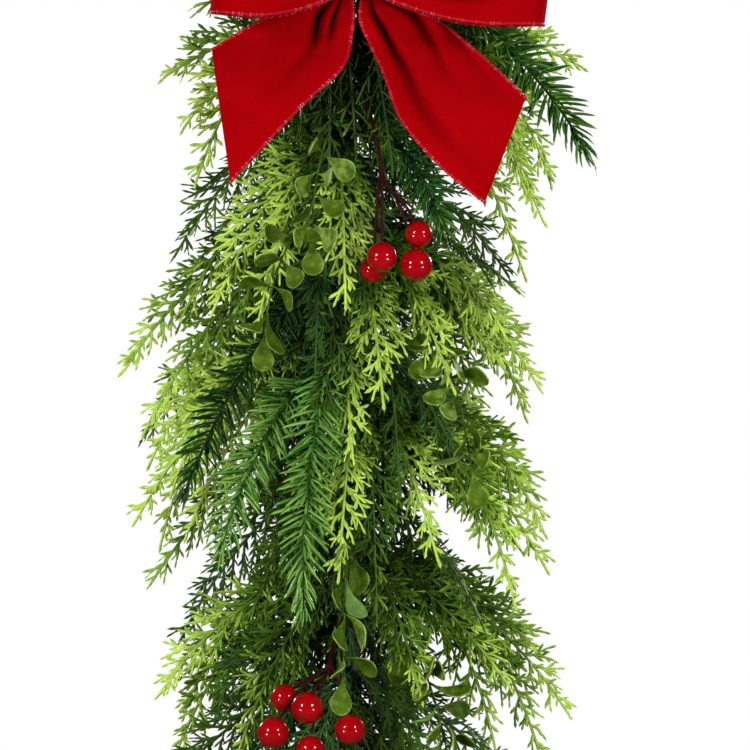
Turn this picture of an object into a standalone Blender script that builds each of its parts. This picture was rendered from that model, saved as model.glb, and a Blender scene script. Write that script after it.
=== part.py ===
"""Christmas garland: mixed artificial greenery on a paper-wrapped wire, with berries and a velvet bow.

It hangs by the wire eye at its top end. Units are metres, +Z is up and the front faces -Y.
The origin is the highest point inside the eye, where it rests on its hook.
"""

import math
import random
from dataclasses import dataclass, replace

import bmesh
import bpy
from mathutils import Vector
from mathutils.bvhtree import BVHTree

# Driving dimensions
GARLAND_LENGTH = 0.914
RIBBON_WIDTH = 0.0635
CORE_RADIUS = 0.006
CORE_TOP = -0.030
CORE_BOTTOM = -0.800
GAP = 0.0003

# Hanging eye: a loop of wire with a twisted neck that goes into the core
EYE_INNER_RADIUS = 0.008
EYE_WIRE_RADIUS = 0.00125

# Every bunch of greenery has a wire root that lies along the core
PEG_RADIUS = 0.0021
PEG_HALF_LENGTH = 0.006
ROOT_SPACING = 0.0017

# Cedar fronds: flat, with side twigs cut to the rib
FROND_THICKNESS = 0.0009
RIB_SUNK_SHARE = 0.4
RIB_WIDTH_AT_ROOT = 0.0028
RIB_WIDTH_AT_TIP = 0.0014
LEAFY_FROM = 0.17
LEAFY_TO = 0.87
TWIG_SWEEP = math.radians(46)
TWIG_LENGTH = 0.027
TWIG_LENGTH_CHANGE = 0.08
TWIG_SAG = 0.10
TWIG_SPACING = 0.030
FEWEST_TWIGS = 4

# Fir sprigs: needles round a slim core
FIR_STEM_RADIUS = 0.0013
NEEDLE_LENGTH = 0.0195
NEEDLE_SWEEP = math.radians(52)
NEEDLE_TWIST = math.radians(37)
NEEDLE_ROWS = 18
NEEDLES_FROM = 0.30
END_NEEDLE_SHARE = 0.8
STEM_END = 0.985

# Stems with round leaves
LEAF_STEM_RADIUS = 0.0008
LEAF_FOOT = 0.0010
LEAF_LENGTH = 0.0225
LEAF_WIDTH = 0.0140
LEAF_THICKNESS = 0.0008
LEAF_SAG = 0.09
LEAF_PAIRS = 4
LEAVES_FROM = 0.44
LEAVES_TO = 0.90
LEAF_LEAN = math.radians(26)
LEAF_SWEEP = math.radians(60)
# Share of the leaf's length, and the share of its full width there
LEAF_OUTLINE = ((0.48, 0.88), (0.84, 0.86))

# Berries on their wires; the side wires leave the main one below each other
BERRY_WIRE_RADIUS = 0.0009
BERRY_STEM_RADIUS = 0.00126
BERRY_FORK_AT = 0.98
BERRY_FORK_STEP = 0.035

# Bow
RIBBON_THICKNESS = 0.0011
KNOT_CENTRE = Vector((0.005, -0.052, -0.139))
KNOT_HALF = Vector((0.0105, 0.0100, 0.0140))
PINCH_HALF_HEIGHT = 0.0115
TIE_WIRE_RADIUS = 0.0011
LOOP_TURNS = 14
LOOP_FORWARD = 0.017
LOOP_DEPTH = 0.017
LOOP_SPLIT = 0.003
LOOP_OPENS_BY = 0.45
LOOP_PLEAT = 0.0009
PINCH_PLEAT = 0.0011
TAIL_PLEAT = 0.0008

# How far a stem may be bent aside to clear what is already there
NUDGES = 70
NUDGE_TURN = math.radians(38)
NUDGE_REACH = 0.26
NUDGE_DROP = 0.24
NUDGE_ROLL = math.radians(75)
CLEARANCE = 0.00032
GOLDEN_ANGLE = math.radians(137.508)

# How far the middle control point of a frond lies out and down, as shares of its reach
BEND_OUT = (0.50, 0.66)
BEND_DOWN = (0.12, 0.26)

COLOURS = {
    "cedar_dark": ((0.045, 0.105, 0.020), 0.55, 0.0),
    "cedar_lime": ((0.240, 0.390, 0.045), 0.55, 0.0),
    "fir": ((0.020, 0.110, 0.030), 0.50, 0.0),
    "leaf": ((0.150, 0.260, 0.060), 0.50, 0.0),
    "berry": ((0.420, 0.002, 0.004), 0.12, 0.0),
    "velvet": ((0.390, 0.001, 0.002), 0.90, 0.0),
    "paper": ((0.060, 0.035, 0.018), 0.90, 0.0),
    "wire": ((0.300, 0.300, 0.290), 0.35, 1.0),
}

# Hand-placed bunches, in millimetres: height of the root, its turn round the core in degrees
# from the front towards +X, and the tips of its fronds
LIME_BUNCHES = (
    (-148, 75, ((135, -6, -186), (117, -14, -283), (98, -22, -232), (106, 8, -318))),
    (-156, -80, ((-100, -8, -228), (-92, -30, -262), (-112, 6, -196))),
    (-229, -38, ((-81, -50, -338), (-54, -62, -352), (-2, -80, -334))),
    (-285, -70, ((-135, -18, -373), (-124, -32, -412), (-96, -10, -398))),
    (-292, 25, ((20, -80, -392), (66, -56, -384), (92, -28, -372), (114, -12, -384))),
    (-345, -70, ((-130, -24, -460), (-94, -40, -468), (-6, -80, -414))),
    (-382, 35, ((-6, -82, -494), (52, -62, -484), (100, -28, -476), (106, -10, -440),
                (118, 0, -492))),
    (-492, -70, ((-114, -22, -566), (-106, -12, -606), (-66, -58, -598))),
    (-482, 50, ((44, -74, -566), (95, -44, -560), (131, -14, -578), (112, 6, -540))),
    (-604, -20, ((-58, -66, -716), (14, -82, -722), (-104, -28, -694))),
    (-726, 50, ((70, -48, -836), (26, -62, -848), (-34, -56, -842))),
    (-72, 15, ((62, -24, -128), (-58, -26, -124), (10, -32, -150))),
    (-262, 168, ((52, 66, -366), (-40, 72, -372), (4, 80, -352))),
    (-566, -165, ((-62, 62, -672), (34, 74, -684), (-10, 82, -656))),
)
LIME_SEED = 40
LIME_ROLL = 18

# Dark bunches are set out by rule: fronds spread round the turn of their root, long ones
# that stand out and short ones that hang down
DARK_BUNCHES = 20
DARK_TOP = -0.044
DARK_BOTTOM = -0.785
DARK_FIRST_TURN = 0.5
DARK_SPREAD = (-80, -40, 0, 40, 80)
SPREAD_CHANGE = 13
LONG_REACH = (0.094, 0.128)
LONG_DROP = (0.050, 0.115)
SHORT_REACH = (0.046, 0.072)
SHORT_DROP = (0.090, 0.130)
FRONT_DEPTH = 0.66
BACK_DEPTH = 0.70
TOP_FADE = 0.12
BOTTOM_FADE = 0.16
TOP_REACH = 0.78
TOP_DROP = 0.20
BOTTOM_REACH = 0.62
LAST_TIP_STEP = 0.007
DARK_SEED = 100
DARK_ROLL = 42
DARK_TURNED = 0.42

# Height of the root, its turn, where the stem bends over (sideways and down), and its tip
FIR_SPRIGS = (
    (-338, 0, 0.92, 0.22, (-23, -82, -514)),
    (-354, -32, 0.66, 0.30, (-77, -66, -481)),
    (-306, -60, 0.60, 0.30, (-99, -46, -449)),
    (-126, 75, 0.62, 0.22, (143, -14, -244)),
    (-216, 45, 0.70, 0.30, (56, -60, -292)),
    (-556, -75, 0.60, 0.25, (-98, -30, -676)),
    (-640, 28, 0.72, 0.25, (42, -72, -772)),
    (-414, 165, 0.70, 0.25, (-16, 78, -540)),
)
LEAF_STEMS = (
    (-214, -15, 0.95, 0.35, (-22, -82, -296)),
    (-262, -55, 0.85, 0.30, (-50, -72, -352)),
    (-306, 50, 0.85, 0.25, (72, -70, -434)),
    (-452, -6, 0.98, 0.20, (-4, -84, -556)),
    (-498, 28, 0.80, 0.30, (58, -76, -602)),
    (-646, -40, 0.85, 0.30, (-44, -72, -752)),
)
# Root height and turn, the fork of its wires, and each berry's centre and radius
BERRY_CLUSTERS = (
    (-198, 10, (20, -72, -264),
     ((40.6, -84, -292.9, 8.0), (39.0, -89, -310.9, 9.6), (19.0, -86, -306.3, 9.0),
      (14.0, -67, -313, 8.2))),
    (-516, -14, (-12, -74, -550),
     ((-24.6, -88, -568.9, 9.5), (-38, -74, -564, 8.2), (-44.4, -86, -583.5, 9.3),
      (0.4, -84, -581.8, 9.1), (-22.9, -80, -594, 8.6))),
    (-706, 8, (8, -72, -752),
     ((20, -82, -772, 9.2), (0, -80, -776, 9.0), (10, -74, -794, 8.8), (-10, -66, -757, 8.4))),
    (-378, -160, (-24, 70, -440),
     ((-36, 80, -460, 9.2), (-14, 82, -464, 9.0), (-28, 76, -482, 8.8), (-44, 68, -444, 8.4))),
)

# Two edges of each tail from behind the knot to its slanted cut end, as X and Z in millimetres
LEFT_TAIL = (
    ((-5.0, -148.2), (1.5, -148.2)),
    ((-16.0, -153.5), (2.1, -161.2)),
    ((-33.8, -158.6), (0.9, -174.0)),
    ((-48.9, -163.5), (-4.9, -194.5)),
    ((-65.0, -172.3), (-28.8, -217.9)),
    ((-81.4, -183.1), (-69.4, -262.0)),
)
RIGHT_TAIL = (
    ((8.0, -148.2), (14.0, -148.2)),
    ((6.2, -164.0), (25.6, -155.0)),
    ((12.1, -179.0), (40.2, -159.5)),
    ((20.3, -197.6), (57.7, -168.9)),
    ((30.8, -226.1), (73.4, -182.9)),
    ((52.9, -252.6), (88.4, -197.3)),
    ((79.0, -274.4), (103.4, -212.7)),
)
# The tails hang behind the loops, then swing forward below them
TAIL_BACK = -0.0383
TAIL_SEAT = -0.0440
TAIL_FORWARD = 0.050
TAIL_EASE = 0.038
LOOP_FOOT = -0.1725
# Outer end of each loop, its side of the knot and how far its outer edge leans
LEFT_LOOP = {"end": (-81.0, -133.0), "side": -1, "lean": 0.0}
RIGHT_LOOP = {"end": (118.0, -138.0), "side": 1, "lean": 4.0}

# Blocks of room that stay in sight: their front, and how much of each outline they keep
SIGHT_FRONT = 0.16
SIGHT_BACK_OF_BOW = -36
SIGHT_OF_BOW = ((-88, -164), (126, -170), (126, -100), (-88, -96))
SIGHT_OF_TAIL = 0.97
SIGHT_OF_BERRY = 0.8


def mm(x, y, z):
    """A point given in millimetres."""
    return Vector((x, y, z)) * 0.001


def core_point(z):
    """Centre of the slightly wavy core at height z."""
    return Vector((0.0025 * math.sin(11.0 * z), 0.0015 * math.sin(16.0 * z + 1.0), z))


def beside_core(z, turn, distance):
    """A point beside the core, turned from the front (-Y) towards +X."""
    return core_point(z) + distance * Vector((math.sin(turn), -math.cos(turn), 0.0))


def wobble(k, step):
    """An even spread of numbers from -1 to 1."""
    return 2.0 * ((k * step) % 1.0) - 1.0


@dataclass
class Stem:
    """A drooping stem: a quadratic curve from the core to its tip, rolled about its own line."""

    root: Vector
    tip: Vector
    out: float = 0.55
    down: float = 0.20
    facing: float = 1.0
    roll: float = 0.0

    def bend(self):
        """The curve's middle control point: most of the way out, little of the way down."""
        reach = self.tip - self.root
        return self.root + Vector((reach.x * self.out, reach.y * self.out, reach.z * self.down))

    def nudged(self, k):
        """The stem bent aside in the k-th way; larger k bends it further."""
        if k == 0:
            return self
        size = (k + 3) / (NUDGES + 3)
        turn = NUDGE_TURN * size * wobble(k, 0.6180)
        wider = 1.0 + NUDGE_REACH * size * wobble(k, 0.7549)
        longer = 1.0 + NUDGE_DROP * size * wobble(k, 0.5698)
        reach = self.tip - self.root
        turned = Vector((reach.x * math.cos(turn) - reach.y * math.sin(turn),
                         reach.x * math.sin(turn) + reach.y * math.cos(turn), 0.0))
        tip = self.root + turned * wider + Vector((0.0, 0.0, reach.z * longer))
        return replace(self, tip=tip, roll=self.roll + NUDGE_ROLL * size * wobble(k, 0.3247))

    def frame(self, s):
        """Point, direction, side and face at share s of the curve."""
        bend = self.bend()
        point = (1 - s) ** 2 * self.root + 2 * s * (1 - s) * bend + s * s * self.tip
        along = ((1 - s) * (bend - self.root) + s * (self.tip - bend)).normalized()
        middle = (self.tip - self.root).normalized()
        flat = (bend - self.root).cross(self.tip - bend).normalized()
        to_front = math.atan2(-flat.y, flat.cross(middle).y)
        roll = self.facing * to_front + self.roll
        side = math.cos(roll) * flat + math.sin(roll) * flat.cross(along)
        return point, along, side, along.cross(side)

    def length(self):
        """Close to the curve's own length."""
        bend = self.bend()
        polygon = (bend - self.root).length + (self.tip - bend).length
        return (polygon + (self.tip - self.root).length) / 2


def tube(points, radii, sides):
    """A closed tube along points, flat at its ends."""
    verts = []
    side = None
    for i, point in enumerate(points):
        along = (points[min(i + 1, len(points) - 1)] - points[max(i - 1, 0)]).normalized()
        if side is None:
            side = along.orthogonal()
        side = (side - along * side.dot(along)).normalized()
        other = along.cross(side)
        for k in range(sides):
            turn = 2 * math.pi * k / sides
            verts.append(point + radii[i] * (math.cos(turn) * side + math.sin(turn) * other))
    faces = []
    last = (len(points) - 1) * sides
    for start in range(0, last, sides):
        for k in range(sides):
            a = start + k
            b = start + (k + 1) % sides
            faces += [(a, b, b + sides), (a, b + sides, a + sides)]
    for k in range(1, sides - 1):
        faces += [(0, k + 1, k), (last, last + k, last + k + 1)]
    return verts, faces


def ring(centre, axis, radius, wire, around, sides):
    """A torus round axis."""
    across = axis.orthogonal().normalized()
    other = axis.cross(across)
    verts = []
    for i in range(around):
        turn = 2 * math.pi * i / around
        out = math.cos(turn) * across + math.sin(turn) * other
        for k in range(sides):
            lean = 2 * math.pi * k / sides
            verts.append(centre + out * (radius + wire * math.cos(lean)) - axis * wire * math.sin(lean))
    faces = []
    for i in range(around):
        for k in range(sides):
            a = i * sides + k
            b = i * sides + (k + 1) % sides
            c = (i + 1) % around * sides + (k + 1) % sides
            d = (i + 1) % around * sides + k
            faces += [(a, b, c), (a, c, d)]
    return verts, faces


def berry_on_wire(points, centre, radius):
    """A faceted berry drawn out, at the face nearest its wire, into a three-sided wire."""
    bm = bmesh.new()
    bmesh.ops.create_icosphere(bm, subdivisions=2, radius=radius)
    verts = [vert.co + centre for vert in bm.verts]
    faces = [tuple(vert.index for vert in face.verts) for face in bm.faces]
    bm.free()
    towards = (points[-1] - centre).normalized()
    nearest = max(faces, key=lambda face: sum((verts[k] - centre).dot(towards) for k in face))
    faces.remove(nearest)
    inside = verts[nearest[0]] - sum((verts[k] for k in nearest), Vector()) / 3
    rings = [nearest]
    for i in range(len(points) - 1, -1, -1):
        ahead = points[max(i - 1, 0)] - points[min(i + 1, len(points) - 1)]
        along = ahead.normalized()
        side = (inside - along * inside.dot(along)).normalized()
        other = along.cross(side)
        start = len(verts)
        for k in range(3):
            turn = 2 * math.pi * k / 3
            verts.append(points[i] + BERRY_WIRE_RADIUS * (math.cos(turn) * side + math.sin(turn) * other))
        rings.append((start, start + 1, start + 2))
    for low, high in zip(rings, rings[1:]):
        for k in range(3):
            a, b = low[k], low[(k + 1) % 3]
            faces += [(a, b, high[(k + 1) % 3]), (a, high[(k + 1) % 3], high[k])]
    faces.append(rings[-1])
    return verts, faces


def sheet(rows, thickness):
    """A closed sheet through a grid of points, half its thickness to each side."""
    last_row = len(rows) - 1
    last = len(rows[0]) - 1
    top, bottom = [], []
    for i, row in enumerate(rows):
        for j, point in enumerate(row):
            down = rows[min(i + 1, last_row)][j] - rows[max(i - 1, 0)][j]
            across = row[min(j + 1, last)] - row[max(j - 1, 0)]
            normal = down.cross(across).normalized()
            top.append(point + normal * thickness / 2)
            bottom.append(point - normal * thickness / 2)
    width = last + 1
    shift = len(top)
    faces = []
    for i in range(last_row):
        for j in range(last):
            a = i * width + j
            b = a + width
            faces += [(a, b, b + 1), (a, b + 1, a + 1)]
            faces += [(shift + a, shift + b + 1, shift + b), (shift + a, shift + a + 1, shift + b + 1)]
    rim = [j for j in range(last)]
    rim += [i * width + last for i in range(last_row)]
    rim += [last_row * width + j for j in range(last, 0, -1)]
    rim += [i * width for i in range(last_row, 0, -1)]
    for a, b in zip(rim, rim[1:] + rim[:1]):
        faces += [(a, b, shift + b), (a, shift + b, shift + a)]
    return top + bottom, faces


def spike(faces, quad, tip):
    """Four faces from a four-sided hole to one tip."""
    for k in range(4):
        faces.append((quad[k], quad[(k + 1) % 4], tip))


def frond(stem):
    """A flat cedar frond: a ridged rib, side twigs as teeth cut to the rib, and a pointed end."""
    leafy = LEAFY_TO - LEAFY_FROM
    teeth = max(FEWEST_TWIGS, round(stem.length() * leafy / TWIG_SPACING))
    stations = [0.0] + [LEAFY_FROM + leafy * i / teeth for i in range(teeth + 1)]
    verts = []
    for s in stations:
        point, along, side, face = stem.frame(s)
        half = (RIB_WIDTH_AT_ROOT + (RIB_WIDTH_AT_TIP - RIB_WIDTH_AT_ROOT) * s) / 2
        foot = point - RIB_SUNK_SHARE * FROND_THICKNESS * face
        verts += [foot - half * side, foot + half * side, foot + FROND_THICKNESS * face]
    faces = [(0, 2, 1)]
    for i in range(teeth + 1):
        for k in range(3):
            a = 3 * i + k
            b = 3 * i + (k + 1) % 3
            if i > 0 and k > 0:
                middle = (stations[i] + stations[i + 1]) / 2
                verts.append(twig_tip(stem, middle, (i - 0.5) / teeth, 1 if k == 1 else -1, i))
                spike(faces, (a, b, b + 3, a + 3), len(verts) - 1)
            else:
                faces += [(a, b, b + 3), (a, b + 3, a + 3)]
    verts.append(stem.tip)
    last = 3 * (teeth + 1)
    faces += [(last + k, last + (k + 1) % 3, len(verts) - 1) for k in range(3)]
    return verts, faces


def twig_reach(share):
    """Length of the side twigs along the leafy stretch, longest at about a third."""
    return TWIG_LENGTH * (0.42 + 0.58 * math.sin(math.pi * min(1.0, 0.16 + 0.98 * share)) ** 0.7)


def twig_tip(stem, s, share, hand, number):
    """Tip of the side twig that leaves the rib at s; neighbours take turns in length."""
    point, along, side, face = stem.frame(s)
    reach = twig_reach(share) * (1.0 + TWIG_LENGTH_CHANGE * hand * (-1) ** number)
    aim = math.cos(TWIG_SWEEP) * along + hand * math.sin(TWIG_SWEEP) * side
    return point + reach * aim - TWIG_SAG * reach * face


def peg(root):
    """The wire root of a bunch, along the core."""
    rise = Vector((0.0, 0.0, PEG_HALF_LENGTH))
    return tube([root + rise, root - rise], [PEG_RADIUS, PEG_RADIUS], 6)


def fir_sprig(stem):
    """A fir sprig: a slim three-sided core, each stretch of it drawn out into three needles."""
    leafy = STEM_END - NEEDLES_FROM
    stations = [0.0] + [NEEDLES_FROM + leafy * i / NEEDLE_ROWS for i in range(NEEDLE_ROWS + 1)]
    verts = []
    for i, s in enumerate(stations):
        point, along, side, face = stem.frame(s)
        radius = FIR_STEM_RADIUS * (1.0 - 0.4 * s)
        for k in range(3):
            turn = 2 * math.pi * k / 3 + NEEDLE_TWIST * max(0, i - 1)
            verts.append(point + radius * (math.cos(turn) * side + math.sin(turn) * face))
    faces = [(0, 2, 1)]
    for i in range(NEEDLE_ROWS + 1):
        for k in range(3):
            a = 3 * i + k
            b = 3 * i + (k + 1) % 3
            if i > 0:
                s = (stations[i] + stations[i + 1]) / 2
                turn = 2 * math.pi * (k + 0.5) / 3 + NEEDLE_TWIST * (i - 0.5)
                verts.append(needle_tip(stem, s, turn))
                spike(faces, (a, b, b + 3, a + 3), len(verts) - 1)
            else:
                faces += [(a, b, b + 3), (a, b + 3, a + 3)]
    point, along, side, face = stem.frame(STEM_END)
    verts.append(point + END_NEEDLE_SHARE * NEEDLE_LENGTH * along)
    last = 3 * (NEEDLE_ROWS + 1)
    faces += [(last + k, last + (k + 1) % 3, len(verts) - 1) for k in range(3)]
    return [(verts, faces)]


def needle_tip(stem, s, turn):
    """Tip of the needle that leaves the sprig at s; the last ones close up to a point."""
    point, along, side, face = stem.frame(s)
    sweep = NEEDLE_SWEEP * (1.0 - 0.5 * max(0.0, s - 0.8) / 0.2)
    out = math.cos(turn) * side + math.sin(turn) * face
    return point + NEEDLE_LENGTH * (math.cos(sweep) * along + math.sin(sweep) * out)


def grow_leaf(verts, faces, quad, base, aim, across, face, below):
    """A spoon-shaped leaf, sagging towards below, grown out of a four-sided hole of its stem."""
    for share, width in LEAF_OUTLINE:
        sag = LEAF_SAG * math.sin(math.pi * share) * LEAF_LENGTH
        middle = base + aim * share * LEAF_LENGTH + below * sag
        edge = across * width * LEAF_WIDTH / 2
        lift = face * LEAF_THICKNESS / 2
        ring_start = len(verts)
        verts += [middle - edge - lift, middle - edge + lift, middle + edge + lift, middle + edge - lift]
        for k in range(4):
            a, b = quad[k], quad[(k + 1) % 4]
            c, d = ring_start + (k + 1) % 4, ring_start + k
            faces += [(a, b, c), (a, c, d)]
        quad = tuple(range(ring_start, ring_start + 4))
    verts.append(base + aim * LEAF_LENGTH)
    spike(faces, quad, len(verts) - 1)


def leaf_stem(stem):
    """A stem with round leaves in pairs and one at its end."""
    half_foot = 1.3 * LEAF_FOOT / stem.length()
    stations = [0.0]
    for i in range(LEAF_PAIRS):
        s = LEAVES_FROM + (LEAVES_TO - LEAVES_FROM) * i / (LEAF_PAIRS - 1)
        stations += [s - half_foot, s + half_foot]
    stations.append(STEM_END)
    verts, faces = [], []
    corners = ((-1, -1), (1, -1), (1, 1), (-1, 1))
    for s in stations:
        point, along, side, face = stem.frame(s)
        for a, b in corners:
            verts.append(point + LEAF_STEM_RADIUS * (a * side + b * face))
    faces += [(0, 2, 1), (0, 3, 2)]
    for i in range(len(stations) - 1):
        for k in range(4):
            quad = (4 * i + k, 4 * i + (k + 1) % 4, 4 * i + 4 + (k + 1) % 4, 4 * i + 4 + k)
            if i % 2 == 1 and k in (1, 3):
                hand = 1 if k == 1 else -1
                point, along, side, face = stem.frame((stations[i] + stations[i + 1]) / 2)
                lean = LEAF_LEAN * (-1) ** (i // 2)
                out = hand * math.cos(lean) * side + math.sin(lean) * face
                aim = math.cos(LEAF_SWEEP) * along + math.sin(LEAF_SWEEP) * out
                across = (along - aim * along.dot(aim)).normalized()
                grow_leaf(verts, faces, quad, point + out * LEAF_FOOT, aim, across,
                          across.cross(aim), -face)
            else:
                faces += [(quad[0], quad[1], quad[2]), (quad[0], quad[2], quad[3])]
    last = 4 * (len(stations) - 1)
    point, along, side, face = stem.frame(stations[-1])
    grow_leaf(verts, faces, (last + 1, last + 2, last + 3, last), point, along, -side, face, -face)
    return [(verts, faces)]


def berry_cluster(root, fork, berries):
    """Parts of a berry cluster: one wire to a fork, and a wire from there into each berry."""
    stem = Stem(root, fork, out=0.8, down=0.3)
    parts = [tube([stem.frame(i / 4)[0] for i in range(5)], [BERRY_STEM_RADIUS] * 5, 4)]
    for i, (x, y, z, radius) in enumerate(berries):
        centre = mm(x, y, z)
        fork_at = BERRY_FORK_AT - BERRY_FORK_STEP * i
        twig = Stem(stem.frame(fork_at)[0], centre, out=0.7, down=0.35)
        reach = 1.0 - 1.15 * radius * 0.001 / twig.length()
        wire = [twig.frame(reach * i / 2)[0] for i in range(3)]
        parts.append(berry_on_wire(wire, centre, radius * 0.001))
    return parts


def loop_rows(loop):
    """Grid of a bow loop: a teardrop seen from above, pinched and pleated at the knot."""
    end = mm(loop["end"][0], 0.0, loop["end"][1])
    start_x = KNOT_CENTRE.x + loop["side"] * (KNOT_HALF.x + RIBBON_THICKNESS / 2 + GAP)
    rows = []
    for i in range(LOOP_TURNS + 1):
        t = i / LOOP_TURNS
        swell = math.sin(math.pi * t)
        x = start_x + (end.x - start_x) * swell
        y = KNOT_CENTRE.y - LOOP_FORWARD * swell - LOOP_DEPTH * math.sin(2 * math.pi * t)
        y -= LOOP_SPLIT * math.cos(math.pi * t)
        middle = KNOT_CENTRE.z + (end.z - KNOT_CENTRE.z) * swell
        open_share = min(1.0, swell / LOOP_OPENS_BY)
        half = PINCH_HALF_HEIGHT + (RIBBON_WIDTH / 2 - PINCH_HALF_HEIGHT) * open_share ** 0.8
        pleat = PINCH_PLEAT * (1.0 - open_share) + LOOP_PLEAT
        row = []
        for j in range(5):
            v = j / 2 - 1
            lean = loop["lean"] * 0.001 * v * swell
            row.append(Vector((x + lean, y + pleat * (-1) ** j, middle + half * v)))
        rows.append(row if loop["side"] < 0 else row[::-1])
    return rows


def tail_depth(z):
    """How far back a tail hangs at height z."""
    return TAIL_BACK - TAIL_FORWARD * (1.0 - math.exp(-max(0.0, LOOP_FOOT - z) / TAIL_EASE))


def tail_point(edge, share):
    """A point of a tail's row, share of the way from one edge to the other."""
    (x1, z1), (x2, z2) = edge
    x = (x1 + (x2 - x1) * share) * 0.001
    z = (z1 + (z2 - z1) * share) * 0.001
    return Vector((x, tail_depth(z), z))


def tail_rows(tail):
    """Grid of a bow tail between its two edges, lightly pleated, from its seat behind the knot."""
    rows = []
    last = len(tail) - 1
    for i, edge in enumerate(tail):
        pleat = TAIL_PLEAT * (1.0 - i / last)
        row = []
        for j in range(5):
            point = tail_point(edge, j / 4)
            if i == 0:
                point.y = TAIL_SEAT
            row.append(point + Vector((0.0, pleat * (-1) ** j, 0.0)))
        rows.append(row)
    return rows


def knot():
    """The wrapped knot: a plump barrel lying along X."""
    rings = 7
    verts = []
    sides = 12
    for i in range(rings):
        u = 2 * i / (rings - 1) - 1
        plump = (1 - 0.45 * abs(u) ** 2.6)
        for k in range(sides):
            turn = 2 * math.pi * k / sides
            verts.append(KNOT_CENTRE + Vector((KNOT_HALF.x * u, plump * KNOT_HALF.y * math.cos(turn),
                                               plump * KNOT_HALF.z * math.sin(turn))))
    faces = []
    last = (rings - 1) * sides
    for start in range(0, last, sides):
        for k in range(sides):
            a = start + k
            b = start + (k + 1) % sides
            faces += [(a, b, b + sides), (a, b + sides, a + sides)]
    for k in range(1, sides - 1):
        faces += [(0, k + 1, k), (last, last + k, last + k + 1)]
    return verts, faces


def tie_wire():
    """The wire that holds the knot to the core: a ring round the core and a twisted stem."""
    z = KNOT_CENTRE.z
    centre = core_point(z)
    radius = CORE_RADIUS + 2 * GAP + TIE_WIRE_RADIUS
    start = centre + Vector((0.0, -radius, 0.0))
    end = Vector((KNOT_CENTRE.x, KNOT_CENTRE.y + KNOT_HALF.y + GAP, z))
    stem = tube([start, end], [TIE_WIRE_RADIUS] * 2, 5)
    return [ring(centre, Vector((0, 0, 1)), radius, TIE_WIRE_RADIUS, 12, 5), stem]


def hanging_eye():
    """The wire eye and its neck, which stands on the top of the core."""
    radius = EYE_INNER_RADIUS + EYE_WIRE_RADIUS
    centre = Vector((0.0, 0.0, -EYE_INNER_RADIUS))
    neck_top = centre + Vector((0.0, 0.0, -radius))
    neck_end = Vector((0.0, 0.0, CORE_TOP + GAP))
    neck = tube([neck_top, neck_end], [EYE_WIRE_RADIUS * 1.5, EYE_WIRE_RADIUS * 1.8], 8)
    return [ring(centre, Vector((0, 1, 0)), radius, EYE_WIRE_RADIUS, 18, 6), neck]


def core():
    """The paper-wrapped core."""
    points = [core_point(CORE_TOP + (CORE_BOTTOM - CORE_TOP) * i / 14) for i in range(15)]
    return tube(points, [CORE_RADIUS] * 15, 9)


def material(name):
    """The plain material of one finish."""
    found = bpy.data.materials.get(name)
    if found:
        return found
    colour, roughness, metallic = COLOURS[name]
    made = bpy.data.materials.new(name)
    made.use_nodes = True
    shader = made.node_tree.nodes["Principled BSDF"]
    shader.inputs["Base Color"].default_value = (*colour, 1.0)
    shader.inputs["Roughness"].default_value = roughness
    shader.inputs["Metallic"].default_value = metallic
    return made


def new_object(name, skin):
    """A linked object from vertex and face lists."""
    mesh = bpy.data.meshes.new(name)
    mesh.from_pydata([tuple(vert) for vert in skin[0]], [], skin[1])
    mesh.validate()
    made = bpy.data.objects.new(name, mesh)
    bpy.context.scene.collection.objects.link(made)
    return made


def fuse(name, parts, finish):
    """One node from its parts, joined by a Boolean union on a collection."""
    made = new_object(name, parts[0])
    if len(parts) > 1:
        group = bpy.data.collections.new(name + "_parts")
        bpy.context.scene.collection.children.link(group)
        for skin in parts[1:]:
            helper = new_object(name + "_part", skin)
            bpy.context.scene.collection.objects.unlink(helper)
            group.objects.link(helper)
        union = made.modifiers.new("union", "BOOLEAN")
        union.operation = "UNION"
        union.operand_type = "COLLECTION"
        union.solver = "EXACT"
        union.collection = group
        seen = made.evaluated_get(bpy.context.evaluated_depsgraph_get())
        joined = bpy.data.meshes.new_from_object(seen)
        made.modifiers.remove(union)
        made.data = joined
        for helper in list(group.objects):
            bpy.data.objects.remove(helper)
        bpy.data.collections.remove(group)
    made.data.materials.clear()
    made.data.materials.append(material(finish))
    return made


def puffed(skin):
    """The skin grown by the clearance, for testing what it would touch."""
    verts, faces = skin
    normals = [Vector((0.0, 0.0, 0.0)) for _ in verts]
    for a, b, c in faces:
        normal = (verts[b] - verts[a]).cross(verts[c] - verts[a]).normalized()
        for index in (a, b, c):
            normals[index] += normal
    return [vert + normal.normalized() * CLEARANCE for vert, normal in zip(verts, normals)], faces


class Space:
    """What already stands in the garland, so that the next stem can be bent clear of it."""

    def __init__(self):
        self.trees = []

    def add(self, name, skins):
        """Keep the skins of a node."""
        for verts, faces in skins:
            self.trees.append((name, BVHTree.FromPolygons(verts, faces)))

    def clear(self, name, skins, siblings=()):
        """Whether the skins touch nothing of another node, and none of their siblings."""
        for skin in skins:
            for tree in (BVHTree.FromPolygons(*skin), BVHTree.FromPolygons(*puffed(skin))):
                if any(other != name and tree.overlap(kept) for other, kept in self.trees):
                    return False
                if any(tree.overlap(sibling) for sibling in siblings):
                    return False
        return True


def prism(points, front_y):
    """A block from a closed outline forward to front_y: the room that stays in sight."""
    count = len(points)
    verts = list(points) + [Vector((point.x, front_y, point.z)) for point in points]
    faces = []
    for k in range(1, count - 1):
        faces += [(0, k, k + 1), (count, count + k + 1, count + k)]
    for k in range(count):
        b = (k + 1) % count
        faces += [(k, b, count + b), (k, count + b, count + k)]
    return verts, faces


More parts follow.
